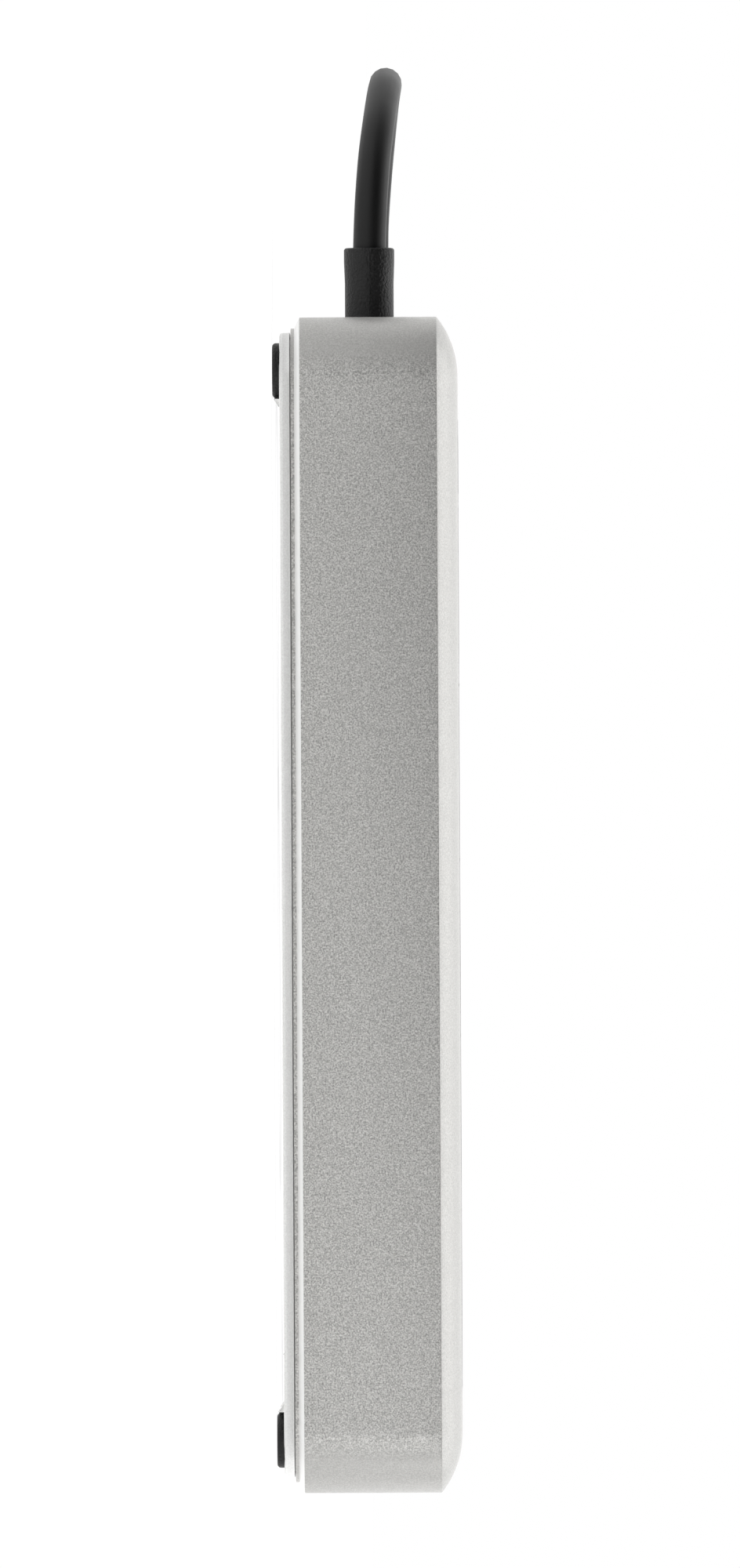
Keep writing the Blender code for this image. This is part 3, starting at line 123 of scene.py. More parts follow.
# Modules in the top
MODULE = 0.0450
SWITCH_MODULE = 0.0225
SOCKETS = 5
ROW_LENGTH = SWITCH_MODULE + SOCKETS * MODULE
SOCKET_X = [-ROW_LENGTH / 2 + SWITCH_MODULE + MODULE * (i + 0.5) for i in range(SOCKETS)]
FLANGE = 0.0014
LEDGE = 0.0015
Z_FLANGE = Z_TOP - FLANGE
FLANGE_ROUND = 0.00035
WELL_RADIUS = 0.0195
WELL_DRAFT = 0.00025
WELL_DEPTH = 0.0175
WELL_WALL = 0.0012
WELL_FLOOR = 0.0025
WELL_ROUND = 0.0005
WELL_FOOT_ROUND = 0.0008
SKIRT_DEPTH = 0.0050
SKIRT_WALL = 0.00156
Z_WELL = Z_TOP - WELL_DEPTH
Z_UNDER = Z_WELL - WELL_FLOOR
Z_SKIRT = Z_UNDER - SKIRT_DEPTH
CUP_RADIUS = WELL_RADIUS + WELL_WALL
TURN = math.radians(45)
PIN_PITCH = 0.0190
PIN_HOLE_RADIUS = 0.0028
PIN_LEAD_IN = 0.0005
GUIDE_WIDTH = 0.0046
GUIDE_DEPTH = 0.0028
GUIDE_BELOW_TOP = 0.0020
GUIDE_ROUND = 0.0003
CLIP_SLOT = 0.0060
CLIP_NEAR = 0.0164
CLIP_FAR = 0.0201
Z_CLIP_TOP = 0.0442

# Cord entry
CORD_RADIUS = 0.0042
CORD_HEIGHT = 0.0247
END_X = -BODY_LENGTH / 2
SLEEVE_OUT = 0.0181
SLEEVE_WAIST = 0.5 * SLEEVE_OUT
SLEEVE_FLARE = 0.8 * SLEEVE_OUT
SLEEVE_RADIUS = 0.00625
SLEEVE_TIP_RADIUS = 0.00645
SLEEVE_FLANGE = 0.0024
SLEEVE_FLANGE_RADIUS = 0.0085
SLEEVE_ROUND = 0.0007
SLEEVE_BEND = 0.002
SEAM_RADIUS = 0.0002
SEAM_END = 0.94 * SLEEVE_OUT

# Free lead, hank and tie, as in the solids
HANK_X = -0.0300
HANK_Y = 0.0823
HANK_RUN = 0.1460
HANK_INNER = 0.0254
HANK_STEP = 0.0113
HANK_DRAW = 0.0120
HANK_LOOPS = 2
HANK_REVERSE = 0.5
LOOP_POINTS = 160
LAYER_STEP = 0.0096
LOW_CORD_Z = 0.0066
LEAD_POINT_STEP = 0.002
TAIL_POINTS = 30
TAIL_LEVEL = 0.1
TIE_LOW = 0.0011

# Plug, as in the solids
PLUG_FACE_X = 0.1310
PLUG_Y = 0.1192
PLUG_RADIUS = 0.0185
PLUG_Z = PLUG_RADIUS + GAP / 2
PLUG_RIM = 0.0130
PLUG_BODY = 0.0330
PLUG_NECK_RADIUS = 0.0115
PLUG_SLEEVE = 0.0280
PLUG_SLEEVE_RADIUS = 0.0068
PLUG_TIP_RADIUS = 0.0056
PLUG_RIBS = 3
PLUG_RIB_DEPTH = 0.0008
PLUG_RIB_ROUND = 0.0004
PLUG_ROUNDS = [0, 0.0008, 0.003, 0.006, 0.004, 0.0008]
PLUG_BACK_X = PLUG_FACE_X - PLUG_BODY - PLUG_SLEEVE
PLUG_EARTH_DEPTH = 0.0022
PLUG_EARTH_WAY = 0.0056
PLUG_NOTCH_DEPTH = 0.0031
PLUG_NOTCH = 0.0052
PLUG_PIN_RADIUS = 0.0024
PLUG_PIN_OUT = 0.0190
PLUG_PIN_IN = 0.0060
PLUG_PIN_ROUND = 0.0012
LEAD_END_X = PLUG_BACK_X - 0.8 * GAP

# Rounding of pieces that keep the shape of their solid
EARTH_ROUND = 0.0002
STRAP_ROUND = 0.0003
SWITCH_ROUND = 0.0002
ROCKER_ROUND = 0.0003

# Route from the cord's mouth in the end wall
LEAD_ROUTE = [
    (-0.0020, 0.0000, 0.0000),
    (-0.0120, 0.0000, 0.0000),
    (-0.0215, 0.0002, 0.0002),
    (-0.0318, 0.0018, 0.0007),
    (-0.0418, 0.0070, 0.0015),
    (-0.0508, 0.0165, 0.0026),
    (-0.0581, 0.0320, 0.0036),
    (-0.0614, 0.0500, 0.0041),
    (-0.0614, 0.0680, 0.0040),
    (-0.0578, 0.0860, 0.0033),
    (-0.0498, 0.1010, 0.0023),
    (-0.0390, 0.1110, 0.0012),
    (-0.0265, 0.1152, 0.0003),
    (-0.0130, 0.1162, -0.0001),
    (-0.0010, 0.1162, -0.0024),
    (0.0090, 0.1162, -0.0076),
    (0.0185, 0.1162, -0.0142),
    (0.0280, 0.1162, -0.0179),
]

# Colours
WHITE = (1.0, 1.0, 1.0, 1.0)
SILVER = (0.515, 0.510, 0.495)
# Painted highlight: the pale colour of the lacquer's chamfer that faces the floor, in place of the white
# floor's reflection there
PAINTED_EDGE_HIGHLIGHT = (0.95, 0.95, 0.94)
BASE_SILVER = (0.92, 0.92, 0.91)
BLACK = (0.0020, 0.0020, 0.0022)
BLACK_PLASTIC = (0.020, 0.020, 0.022)
GREY_PLASTIC = (0.23, 0.23, 0.24)
RED = (0.62, 0.012, 0.010)
GLASS = (0.85, 0.80, 0.72)
BRASS = (0.66, 0.47, 0.19)
STEEL = (0.58, 0.59, 0.61)
CHROME = (0.66, 0.66, 0.67)
BROWN = (0.17, 0.065, 0.022)
BLUE = (0.02, 0.09, 0.42)
GREEN = (0.12, 0.38, 0.05)

# Bumps, each as scale, strength and distance
FINE_BUMP = (900.0, 0.1, 0.0001)
FLAKE_BUMP = (2600.0, 0.10, 0.00005)
BASE_BUMP = (2600.0, 0.08, 0.00005)
RUBBER_BUMP = (1500.0, 0.8, 0.0004)
CABLE_BUMP = (1200.0, 0.06, 0.0001)

# Noise limits between which a tint runs, and the coarser noise of the roughness
TINT_LIMITS = (0.3, 0.7)
ROUGH_COARSER = 7
LEAST_ROUGH = 0.02
# Shares of the lacquer's flakes by how far a face looks sideways, where their strength is partly painted
# glints, and of its painted highlight by how far a face looks towards the floor
FLAKES_AND_GLINTS_BY_SIDE = (0.90, 0.99, 0.35, 1.0)
HIGHLIGHT_BY_DOWN = (-0.3, -0.7, 0.0, 1.0)

# Camera, by the photograph: 5 pixels to a millimetre on the near side wall
IMAGE_HEIGHT = 0.3990
SENSOR_MM = 36.0
CAMERA_AWAY = 6.0
CAMERA_X = -0.0308
CAMERA_Z = 0.0600
AIM_Z = 0.0245
ROLL = math.radians(0.28)

# Surroundings
FLOOR_SIZE = 8.0
FLOOR_ALBEDO = 0.9
FLOOR_ROUGH = 0.9
FLOOR_GLOW = 0.45
FLOOR_WHITE = 0.65
WORLD_RAMP = (-0.7, 1.0, 0.02, 1.55)
WORLD_TURN = math.radians(13)
# Each lamp's name, place, aim, size and watts
LAMPS = [
    ("top_light", (0.0, 0.30, 1.4), (0, 0, 0), (1.8, 1.2), 8.2),
    ("front_light", (0.75, -1.6, 0.2), (0.02, 0, 0.02), (1.2, 0.8), 5.6),
    ("far_end_light", (1.4, -0.6, 0.4), (0.15, 0, 0.02), (0.6, 0.6), 2.0),
]


def principled(name):
    """A new material, its nodes and its shader."""
    made = bpy.data.materials.new(name)
    made.use_nodes = True
    return made, made.node_tree, made.node_tree.nodes["Principled BSDF"]


def noise_node(tree, scale):
    """Noise in the object's own metres."""
    place = tree.nodes.new("ShaderNodeTexCoord")
    noise = tree.nodes.new("ShaderNodeTexNoise")
    noise.inputs["Scale"].default_value = scale
    tree.links.new(place.outputs["Object"], noise.inputs["Vector"])
    return noise.outputs["Fac"]


def ranged(tree, value, span, kind="LINEAR"):
    """A value that runs from span's third number to its fourth between its first and second."""
    made = tree.nodes.new("ShaderNodeMapRange")
    made.interpolation_type = kind
    for name, number in zip(("From Min", "From Max", "To Min", "To Max"), span):
        made.inputs[name].default_value = number
    tree.links.new(value, made.inputs["Value"])
    return made.outputs["Result"]


def between(tree, share, first, second):
    """A mix of two colours, of which one may be the output of a node."""
    made = tree.nodes.new("ShaderNodeMix")
    made.data_type = "RGBA"
    tree.links.new(share, made.inputs["Factor"])
    for name, colour in (("A", first), ("B", second)):
        if isinstance(colour, tuple):
            made.inputs[name].default_value = (*colour, 1.0)
        else:
            tree.links.new(colour, made.inputs[name])
    return made.outputs["Result"]


def calculated(tree, operation, first, second):
    """The output of a sum on a node's output and a second output or number."""
    made = tree.nodes.new("ShaderNodeMath")
    made.operation = operation
    tree.links.new(first, made.inputs[0])
    if isinstance(second, float):
        made.inputs[1].default_value = second
    else:
        tree.links.new(second, made.inputs[1])
    return made.outputs[0]


def tinted(tree, noise, colour, spread):
    """A ramp from a darker to a lighter tint of one colour, driven by noise."""
    ramp = tree.nodes.new("ShaderNodeValToRGB")
    shares = (1 - spread, 1 + spread)
    for element, share, limit in zip(ramp.color_ramp.elements, shares, TINT_LIMITS):
        element.color = (*[min(1.0, c * share) for c in colour], 1.0)
        element.position = limit
    tree.links.new(noise, ramp.inputs["Fac"])
    return ramp.outputs["Color"]


def bumped(tree, shader, scale, strength, distance):
    bump = tree.nodes.new("ShaderNodeBump")
    bump.inputs["Strength"].default_value = strength
    bump.inputs["Distance"].default_value = distance
    tree.links.new(noise_node(tree, scale), bump.inputs["Height"])
    tree.links.new(bump.outputs["Normal"], shader.inputs["Normal"])


def finish_of(name, colour, rough, metal=0.0, grain=400.0, spread=0.08, bump=FINE_BUMP, rough_spread=0.06):
    """A finish with fine tint and roughness changes over its surface."""
    made, tree, shader = principled(name)
    tree.links.new(tinted(tree, noise_node(tree, grain), colour, spread), shader.inputs["Base Color"])
    span = (0.0, 1.0, max(LEAST_ROUGH, rough - rough_spread), rough + rough_spread)
    vary = ranged(tree, noise_node(tree, grain / ROUGH_COARSER), span)
    tree.links.new(vary, shader.inputs["Roughness"])
    shader.inputs["Metallic"].default_value = metal
    if bump:
        bumped(tree, shader, *bump)
    return made


def with_input(made, name, value):
    """The material with one input of its shader set."""
    made.node_tree.nodes["Principled BSDF"].inputs[name].default_value = value
    return made


def lacquer():
    """Silver flake lacquer: the flakes show in full only on faces that look sideways and at about a third
    elsewhere, as painted glints, and the narrow band facing the floor is paler, as a painted highlight.
    """
    made = finish_of("silver", SILVER, 0.42, 0.6, 2600.0, 0.43, FLAKE_BUMP)
    tree = made.node_tree
    paint = tree.nodes["Principled BSDF"].inputs["Base Color"]
    flakes = paint.links[0].from_socket
    normal = tree.nodes.new("ShaderNodeNewGeometry")
    axes = tree.nodes.new("ShaderNodeSeparateXYZ")
    tree.links.new(normal.outputs["True Normal"], axes.inputs["Vector"])
    sideways = tree.nodes.new("ShaderNodeMath")
    sideways.operation = "ABSOLUTE"
    tree.links.new(axes.outputs["Y"], sideways.inputs[0])
    # Painted glints: the flakes' contrast is full where a face looks sideways and weaker elsewhere, in
    # place of how the light brings them out
    silver = between(tree, ranged(tree, sideways.outputs[0], FLAKES_AND_GLINTS_BY_SIDE), SILVER, flakes)
    # Painted highlight: faces that look towards the floor turn paler, in place of the white floor's
    # reflection on the chamfer
    highlight_share = ranged(tree, axes.outputs["Z"], HIGHLIGHT_BY_DOWN)
    tree.links.new(between(tree, highlight_share, silver, PAINTED_EDGE_HIGHLIGHT), paint)
    return made


def matt_black(name, rough, glint, grain, spread, bump):
    """Black that shows little but soft glints."""
    made = finish_of(name, BLACK, rough, 0.0, grain, spread, bump)
    return with_input(made, "Specular IOR Level", glint)


def red_lens():
    """Glossy red plastic that lets some light through."""
    made = finish_of("red_lens", RED, 0.16, grain=150.0, spread=0.1, bump=None)
    return with_input(made, "Transmission Weight", 0.35)


def clear_glass():
    made = finish_of("clear_glass", GLASS, 0.08, grain=200.0, spread=0.05, bump=None, rough_spread=0.03)
    return with_input(made, "Transmission Weight", 0.8)


FINISHES = {
    "brass": finish_of("brass", BRASS, 0.28, 1.0),
    "steel": finish_of("steel", STEEL, 0.30, 1.0),
    "chrome": finish_of("chrome", CHROME, 0.18, 1.0),
    "silver": lacquer(),
    "base_silver": finish_of("base_silver", BASE_SILVER, 0.5, 0.0, 2600.0, 0.06, BASE_BUMP),
    "black_rubber": matt_black("black_rubber", 0.50, 0.42, 1500.0, 0.5, RUBBER_BUMP),
    "black_plastic": finish_of("black_plastic", BLACK_PLASTIC, 0.42, 0.0, 900.0, 0.15),
    "black_cable": matt_black("black_cable", 0.52, 0.36, 500.0, 0.15, CABLE_BUMP),
    "grey_plastic": finish_of("grey_plastic", GREY_PLASTIC, 0.45),
    "red_lens": red_lens(),
    "clear_glass": clear_glass(),
    "brown_wire": finish_of("brown_wire", BROWN, 0.4),
    "blue_wire": finish_of("blue_wire", BLUE, 0.4),
    "green_wire": finish_of("green_wire", GREEN, 0.4),
}


def link(made):
    bpy.context.scene.collection.objects.link(made)
    return made


def extra(name, mesh, slot, body="strip"):
    """A visible piece that moves with a body and has a slot's finish."""
    made = link(bpy.data.objects.new(name, mesh))
    mesh.materials.clear()
    mesh.materials.append(FINISHES[slot])
    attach(made, body)
    return made


def piece(name, mesh, node, body="strip"):
    """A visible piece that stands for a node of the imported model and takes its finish."""
    made = extra(name, mesh, SLOTS[node], body)
    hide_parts(node)
    return made


def mesh_from(name, build):
    """A mesh that build fills through bmesh."""
    shape = bmesh.new()
    build(shape)
    bmesh.ops.recalc_face_normals(shape, faces=shape.faces)
    mesh = bpy.data.meshes.new(name)
    shape.to_mesh(mesh)
    shape.free()
    return mesh


def boxes(name, spans):
    """Boxes from their (low corner, high corner) pairs, in one mesh."""

    def build(shape):
        for low, high in spans:
            low, high = Vector(low), Vector(high)
            size = Matrix.Diagonal((high - low).to_4d())
            bmesh.ops.create_cube(shape, size=1.0, matrix=Matrix.Translation((low + high) / 2) @ size)

    return mesh_from(name, build)


def cones(name, spans, steps=FINE_STEPS):
    """Cones or cylinders from (start, end, start radius, end radius)."""

    def build(shape):
        for start, end, first, last in spans:
            start, end = Vector(start), Vector(end)
            along = end - start
            turn = along.to_track_quat("Z", "Y").to_matrix().to_4x4()
            bmesh.ops.create_cone(
                shape,
                cap_ends=True,
                segments=steps,
                radius1=first,
                radius2=last,
                depth=along.length,
                matrix=Matrix.Translation((start + end) / 2) @ turn,
            )

    return mesh_from(name, build)


def turned(name, profile, steps=FINE_STEPS):
    """A profile of (radius, height) points turned about Z."""

    def build(shape):
        ring = [shape.verts.new((r, 0.0, z)) for r, z in profile]
        line = [shape.edges.new(pair) for pair in zip(ring, ring[1:])]
        bmesh.ops.spin(
            shape,
            geom=ring + line,
            axis=(0, 0, 1),
            cent=(0, 0, 0),
            angle=2 * math.pi,
            steps=steps,
            use_merge=True,
        )
        bmesh.ops.remove_doubles(shape, verts=shape.verts, dist=TURNED_WELD)

    return mesh_from(name, build)


def filleted(points, rounds):
    """An open line whose inner corners are rounded by the radius given for each."""
    made = []
    last_point = len(points) - 1
    for i, (point, radius) in enumerate(zip(points, rounds)):
        if not radius or i in (0, last_point):
            made.append(point)
            continue
        here = Vector(point)
        before = (Vector(points[i - 1]) - here).normalized()
        after = (Vector(points[i + 1]) - here).normalized()
        half = math.acos(max(-1.0, min(1.0, before.dot(after)))) / 2
        centre = here + (before + after).normalized() * radius / math.sin(half)
        first = here + before * radius / math.tan(half) - centre
        last = here + after * radius / math.tan(half) - centre
        swing = first.angle_signed(last)
        for k in range(FILLET_STEPS + 1):
            turn = Matrix.Rotation(-swing * k / FILLET_STEPS, 2)
            made.append(tuple(centre + turn @ first))
    return made


def applied(source):
    """The evaluated mesh of an object, which is then removed."""
    bpy.context.view_layer.update()
    graph = bpy.context.evaluated_depsgraph_get()
    mesh = bpy.data.meshes.new_from_object(source.evaluated_get(graph))
    bpy.data.objects.remove(source, do_unlink=True)
    return mesh


def shaped(name, mesh, steps):
    """A mesh after Boolean steps of (operation, mesh)."""
    made = link(bpy.data.objects.new(name, mesh))
    helpers = []
    for i, (operation, other) in enumerate(steps):
        helper = link(bpy.data.objects.new(f"{name}_step_{i}", other))
        helpers.append(helper)
        step = made.modifiers.new(helper.name, "BOOLEAN")
        step.operation = operation
        step.solver = "EXACT"
        step.object = helper
    done = applied(made)
    for helper in helpers:
        bpy.data.objects.remove(helper, do_unlink=True)
    return done


def softened(mesh, width, segments=BEVEL_STEPS):
    """The mesh with its sharp edges rounded."""
    source = link(bpy.data.objects.new("soft", mesh))
    soft = source.modifiers.new("edges", "BEVEL")
    soft.width = width
    soft.segments = segments
    soft.limit_method = "ANGLE"
    soft.angle_limit = BEVEL_ANGLE
    return applied(source)


def smooth(mesh, angle=SMOOTH_ANGLE):
    mesh.shade_smooth()
    mesh.set_sharp_from_angle(angle=angle)
    return mesh


def on_line(mesh, angle):
    """Turns a mesh about Z."""
    mesh.transform(Matrix.Rotation(angle, 4, "Z"))
    return mesh


def pair(near, far, width, low, high):
    """Two boxes at both ends of a line along X."""
    spans = []
    for s in (-1, 1):
        first, last = sorted((s * near, s * far))
        spans.append(((first, -width / 2, low), (last, width / 2, high)))
    return spans


def at_pins(low, high, first, last):
    """Two upright cones where the pins stand on a line along X."""
    return [((s * PIN_PITCH / 2, 0, low), (s * PIN_PITCH / 2, 0, high), first, last) for s in (-1, 1)]


def cad_mesh(node, merge_flats=False):
    """A copy of a node's mesh with its faces joined up and, where asked, its flats merged."""
    mesh = NODES[node].data.copy()
    shape = bmesh.new()
    shape.from_mesh(mesh)
    bmesh.ops.remove_doubles(shape, verts=shape.verts, dist=WELD)
    if merge_flats:
        bmesh.ops.dissolve_limit(shape, angle_limit=FLAT_ANGLE, verts=shape.verts, edges=shape.edges)
    shape.to_mesh(mesh)
    shape.free()
    return mesh


def cad_copy(node, name, body="strip", bevel=None):
    """A copy of a node's shape with smooth rounds and, where asked, softened edges."""
    mesh = cad_mesh(node, merge_flats=True)
    if bevel:
        mesh = softened(mesh, bevel, COPY_BEVEL_STEPS)
    return piece(name, smooth(mesh), node, body)


def rounded_ring(inset):
    """The plan outline of the body, set in by inset."""
    radius = CORNER_RADIUS - inset
    half_x = BODY_LENGTH / 2 - inset - radius
    half_y = BODY_WIDTH / 2 - inset - radius
    points = []
    for corner, (sx, sy) in enumerate([(1, 1), (-1, 1), (-1, -1), (1, -1)]):
        for k in range(CORNER_STEPS + 1):
            angle = QUARTER * (corner + k / CORNER_STEPS)
            points.append((sx * half_x + radius * math.cos(angle), sy * half_y + radius * math.sin(angle)))
    return points


def lofted(name, sections):
    """An open shell through (inset, height) sections of the plan outline, filled at the last."""

    def build(shape):
        rings = []
        for inset, z in sections:
            rings.append([shape.verts.new((x, y, z)) for x, y in rounded_ring(inset)])
        for low, high in zip(rings, rings[1:]):
            for i in range(len(low)):
                shape.faces.new((low[i - 1], low[i], high[i], high[i - 1]))
        shape.faces.new(rings[-1])

    return mesh_from(name, build)


def crown_sections():
    """The rounded crown from the crisp edge of the side wall to the flat top."""
    radius = (CROWN_DEPTH**2 + CROWN_HEIGHT**2) / (2 * CROWN_HEIGHT)
    start = math.asin(CROWN_DEPTH / radius)
    angles = [start * (1 - k / CROWN_STEPS) for k in range(CROWN_STEPS + 1)]
    return [(CROWN_DEPTH - radius * math.sin(a), Z_TOP - radius * (1 - math.cos(a))) for a in angles]


def shell_mesh():
    """The bare shell with rounded edges and an even wall."""
    crown = crown_sections()
    corners = [(LIP_INSET, Z_LIP), (LIP_INSET, Z_CHAMFER), (0.0, Z_SIDE), crown[0], crown[1]]
    sections = filleted(corners, [0, 0, EDGE_ROUND, CRISP_ROUND, 0]) + crown[2:]
    shell = link(bpy.data.objects.new("shell", lofted("shell", sections)))
    wall = shell.modifiers.new("wall", "SOLIDIFY")
    wall.thickness = WALL
    wall.offset = -1.0
    wall.use_even_offset = True
    return applied(shell)


def at_screws(low, high, radius):
    """Four upright cylinders where the base's screws stand."""
    places = [(sx * SCREW_X, sy * SCREW_Y) for sx in (-1, 1) for sy in (-1, 1)]
    return [((x, y, low), (x, y, high), radius, radius) for x, y in places]


def housing():
    """The silver shell with its bosses, its row opening and the mouth for the sleeve."""
    seat_x, seat_y = ROW_LENGTH / 2 + GAP / 2, MODULE / 2 + GAP / 2
    slot_x, slot_y = seat_x - LEDGE, seat_y - LEDGE
    seat = [((-seat_x, -seat_y, Z_FLANGE - GAP), (seat_x, seat_y, Z_TOP + PAST))]
    way = [((-slot_x, -slot_y, Z_TOP - WALL - PAST), (slot_x, slot_y, Z_TOP + PAST))]
    hole = SLEEVE_RADIUS + GAP
    mouth = [((END_X - PAST, 0, CORD_HEIGHT), (END_X + WALL + PAST, 0, CORD_HEIGHT), hole, hole)]
    bosses = at_screws(Z_LIP + GAP, Z_TOP - WALL + JOIN, BOSS_RADIUS)
    pilots = at_screws(Z_LIP + GAP - PAST, PILOT_TOP, PILOT_RADIUS)
    steps = [
        ("UNION", cones("bosses", bosses, HOLE_STEPS)),
        ("DIFFERENCE", boxes("seat", seat)),
        ("DIFFERENCE", boxes("way", way)),
        ("DIFFERENCE", cones("pilots", pilots, HOLE_STEPS)),
        ("DIFFERENCE", cones("mouth", mouth, MOUTH_STEPS)),
    ]
    return piece("housing", smooth(shaped("housing", shell_mesh(), steps), SHELL_ANGLE), "top_housing")


def through(points, step):
    """Points about a step apart on a smooth curve through the route's points."""
    way = np.array(points, float)
    before = np.vstack([2 * way[0] - way[1], way[:-1]])
    after = np.vstack([way[1:], 2 * way[-1] - way[-2]])
    lean = (after - before) / 2
    made = []
    for i in range(len(way) - 1):
        count = max(1, round(float(np.linalg.norm(way[i + 1] - way[i])) / step))
        for t in np.arange(count) / count:
            made.append(
                (2 * t**3 - 3 * t**2 + 1) * way[i]
                + (t**3 - 2 * t**2 + t) * lean[i]
                + (3 * t**2 - 2 * t**3) * way[i + 1]
                + (t**3 - t**2) * lean[i + 1]
            )
    return np.array([*made, way[-1]])


def hank_point(turn):
    """The middle of the hank's cord after so many turns."""
    middle = HANK_LOOPS / 2
    off = abs(turn - middle)
    radius = HANK_INNER + HANK_STEP * max(0.0, off - HANK_REVERSE / 2)
    climb = min(1.0, max(0.0, (turn - middle + HANK_REVERSE / 2) / HANK_REVERSE))
    z = LOW_CORD_Z + LAYER_STEP * (0.5 - 0.5 * math.cos(math.pi * climb))
    half = HANK_RUN / 2
    run, fold = HANK_RUN, math.pi * HANK_INNER
    at = (turn % 1.0) * 2 * (run + fold)
    side = 1 if at < run + fold else -1
    at = at % (run + fold)
    if at < run:
        x = at - half
        y = radius - HANK_DRAW * math.cos(math.pi * x / run) ** 2
    else:
        angle = (at - run) / HANK_INNER
        x = half + radius * math.sin(angle)
        y = radius * math.cos(angle)
    return (HANK_X + side * x, HANK_Y + side * y, z)


def hank_points():
    """The loops, with a short straight stretch before and after them."""
    run_share = HANK_RUN / 2 / (HANK_RUN + math.pi * HANK_INNER)
    total = HANK_LOOPS + run_share
    points = np.array([hank_point(t) for t in np.linspace(0, total, round(LOOP_POINTS * total) + 1)])
    straight = np.array((2 * CORD_RADIUS, 0, 0))
    return np.vstack([points[0] - straight, points, points[-1] + straight])


def tail_points(end):
    """A gentle rise from the end of the hank into the plug's sleeve, level at both its ends."""
    start = np.array(end)
    stop = np.array((LEAD_END_X, PLUG_Y, PLUG_Z))
    shares = np.linspace(0, 1, TAIL_POINTS)[1:]
    rise = np.clip((shares - TAIL_LEVEL) / (1 - 2 * TAIL_LEVEL), 0, 1)
    ease = 3 * rise**2 - 2 * rise**3
    along = start[0] + (stop[0] - start[0]) * shares
    return np.column_stack([along, start[1:] + (stop - start)[1:] * ease[:, None]])


def lead():
    """One cord from inside the sleeve, round the U-turn, through the hank and to the plug."""
    hank = hank_points()
    route = np.array(LEAD_ROUTE) + (END_X, 0, CORD_HEIGHT)
    points = np.vstack([through([*route, hank[0]], LEAD_POINT_STEP)[:-1], hank, tail_points(hank[-1])])
    line = bpy.data.curves.new("lead", "CURVE")
    line.dimensions = "3D"
    line.bevel_depth = CORD_RADIUS
    line.bevel_resolution = CORD_RESOLUTION
    line.use_fill_caps = True
    spline = line.splines.new("POLY")
    spline.points.add(len(points) - 1)
    for point, at in zip(spline.points, points):
        point.co = (*at, 1.0)
    spline.use_smooth = True
    line.materials.append(FINISHES["black_cable"])
    made = link(bpy.data.objects.new("lead", line))
    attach(made, "strip")
    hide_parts("power_cord", "cord_hank", "plug_lead")
    return made


def lay_sleeve(mesh):
    """Lays a mesh that stands along Z at the cord's mouth, pointing out of the end wall."""
    mesh.transform(Matrix.Translation((END_X, 0, CORD_HEIGHT)) @ Matrix.Rotation(-QUARTER, 4, "Y"))
    return mesh


def sleeve():
    """The matt sleeve, a little wider towards its rounded rim, with a faint mould seam."""
    bore = CORD_RADIUS + GAP
    wall = -WALL - GAP
    inner = wall - SLEEVE_FLANGE
    corners = [
        (bore, inner),
        (bore, SLEEVE_OUT),
        (SLEEVE_TIP_RADIUS, SLEEVE_OUT),
        (SLEEVE_TIP_RADIUS, SLEEVE_FLARE),
        (SLEEVE_RADIUS, SLEEVE_WAIST),
        (SLEEVE_RADIUS, wall),
        (SLEEVE_FLANGE_RADIUS, wall),
        (SLEEVE_FLANGE_RADIUS, inner),
        (bore, inner),
    ]
    rounds = [0, SLEEVE_ROUND, SLEEVE_ROUND, SLEEVE_BEND, SLEEVE_BEND, 0, GAP, GAP, 0]
    mesh = smooth(lay_sleeve(turned("sleeve", filleted(corners, rounds))))
    made = piece("sleeve", mesh, "strain_relief")
    heights = (2 * GAP, SLEEVE_WAIST, SEAM_END)
    line = [(0, -r, z) for r, z in zip((SLEEVE_RADIUS, SLEEVE_RADIUS, SLEEVE_TIP_RADIUS), heights)]
    rods = [(start, end, SEAM_RADIUS, SEAM_RADIUS) for start, end in zip(line, line[1:])]
    mesh = smooth(cones("sleeve_seam", rods, SEAM_STEPS))
    return [made, extra("sleeve_seam", lay_sleeve(mesh), "black_rubber")]


def feet():
    """Rubber feet with a rounded lower edge."""
    low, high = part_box("foot_1")
    radius = (high.x - low.x) / 2
    profile = filleted([(0, high.z), (radius, high.z), (radius, 0.0), (0, 0)], [0, 0, FOOT_ROUND, 0])
    for i in range(CORNERS):
        node = f"foot_{i + 1}"
        low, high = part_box(node)
        mesh = smooth(turned(node, profile, FOOT_STEPS))
        mesh.transform(Matrix.Translation(((low.x + high.x) / 2, (low.y + high.y) / 2, 0)))
        piece(f"rubber_{node}", mesh, node)


def well_profile():
    """The space of a well, with a rounded rim and a rounded foot."""
    rim = WELL_RADIUS + 2 * WELL_ROUND
    corners = [
        (0, Z_TOP + PAST),
        (rim, Z_TOP + PAST),
        (rim, Z_TOP),
        (WELL_RADIUS, Z_TOP),
        (WELL_RADIUS - WELL_DRAFT, Z_WELL),
        (0, Z_WELL),
    ]
    return filleted(corners, [0, 0, 0, WELL_ROUND, WELL_FOOT_ROUND, 0])


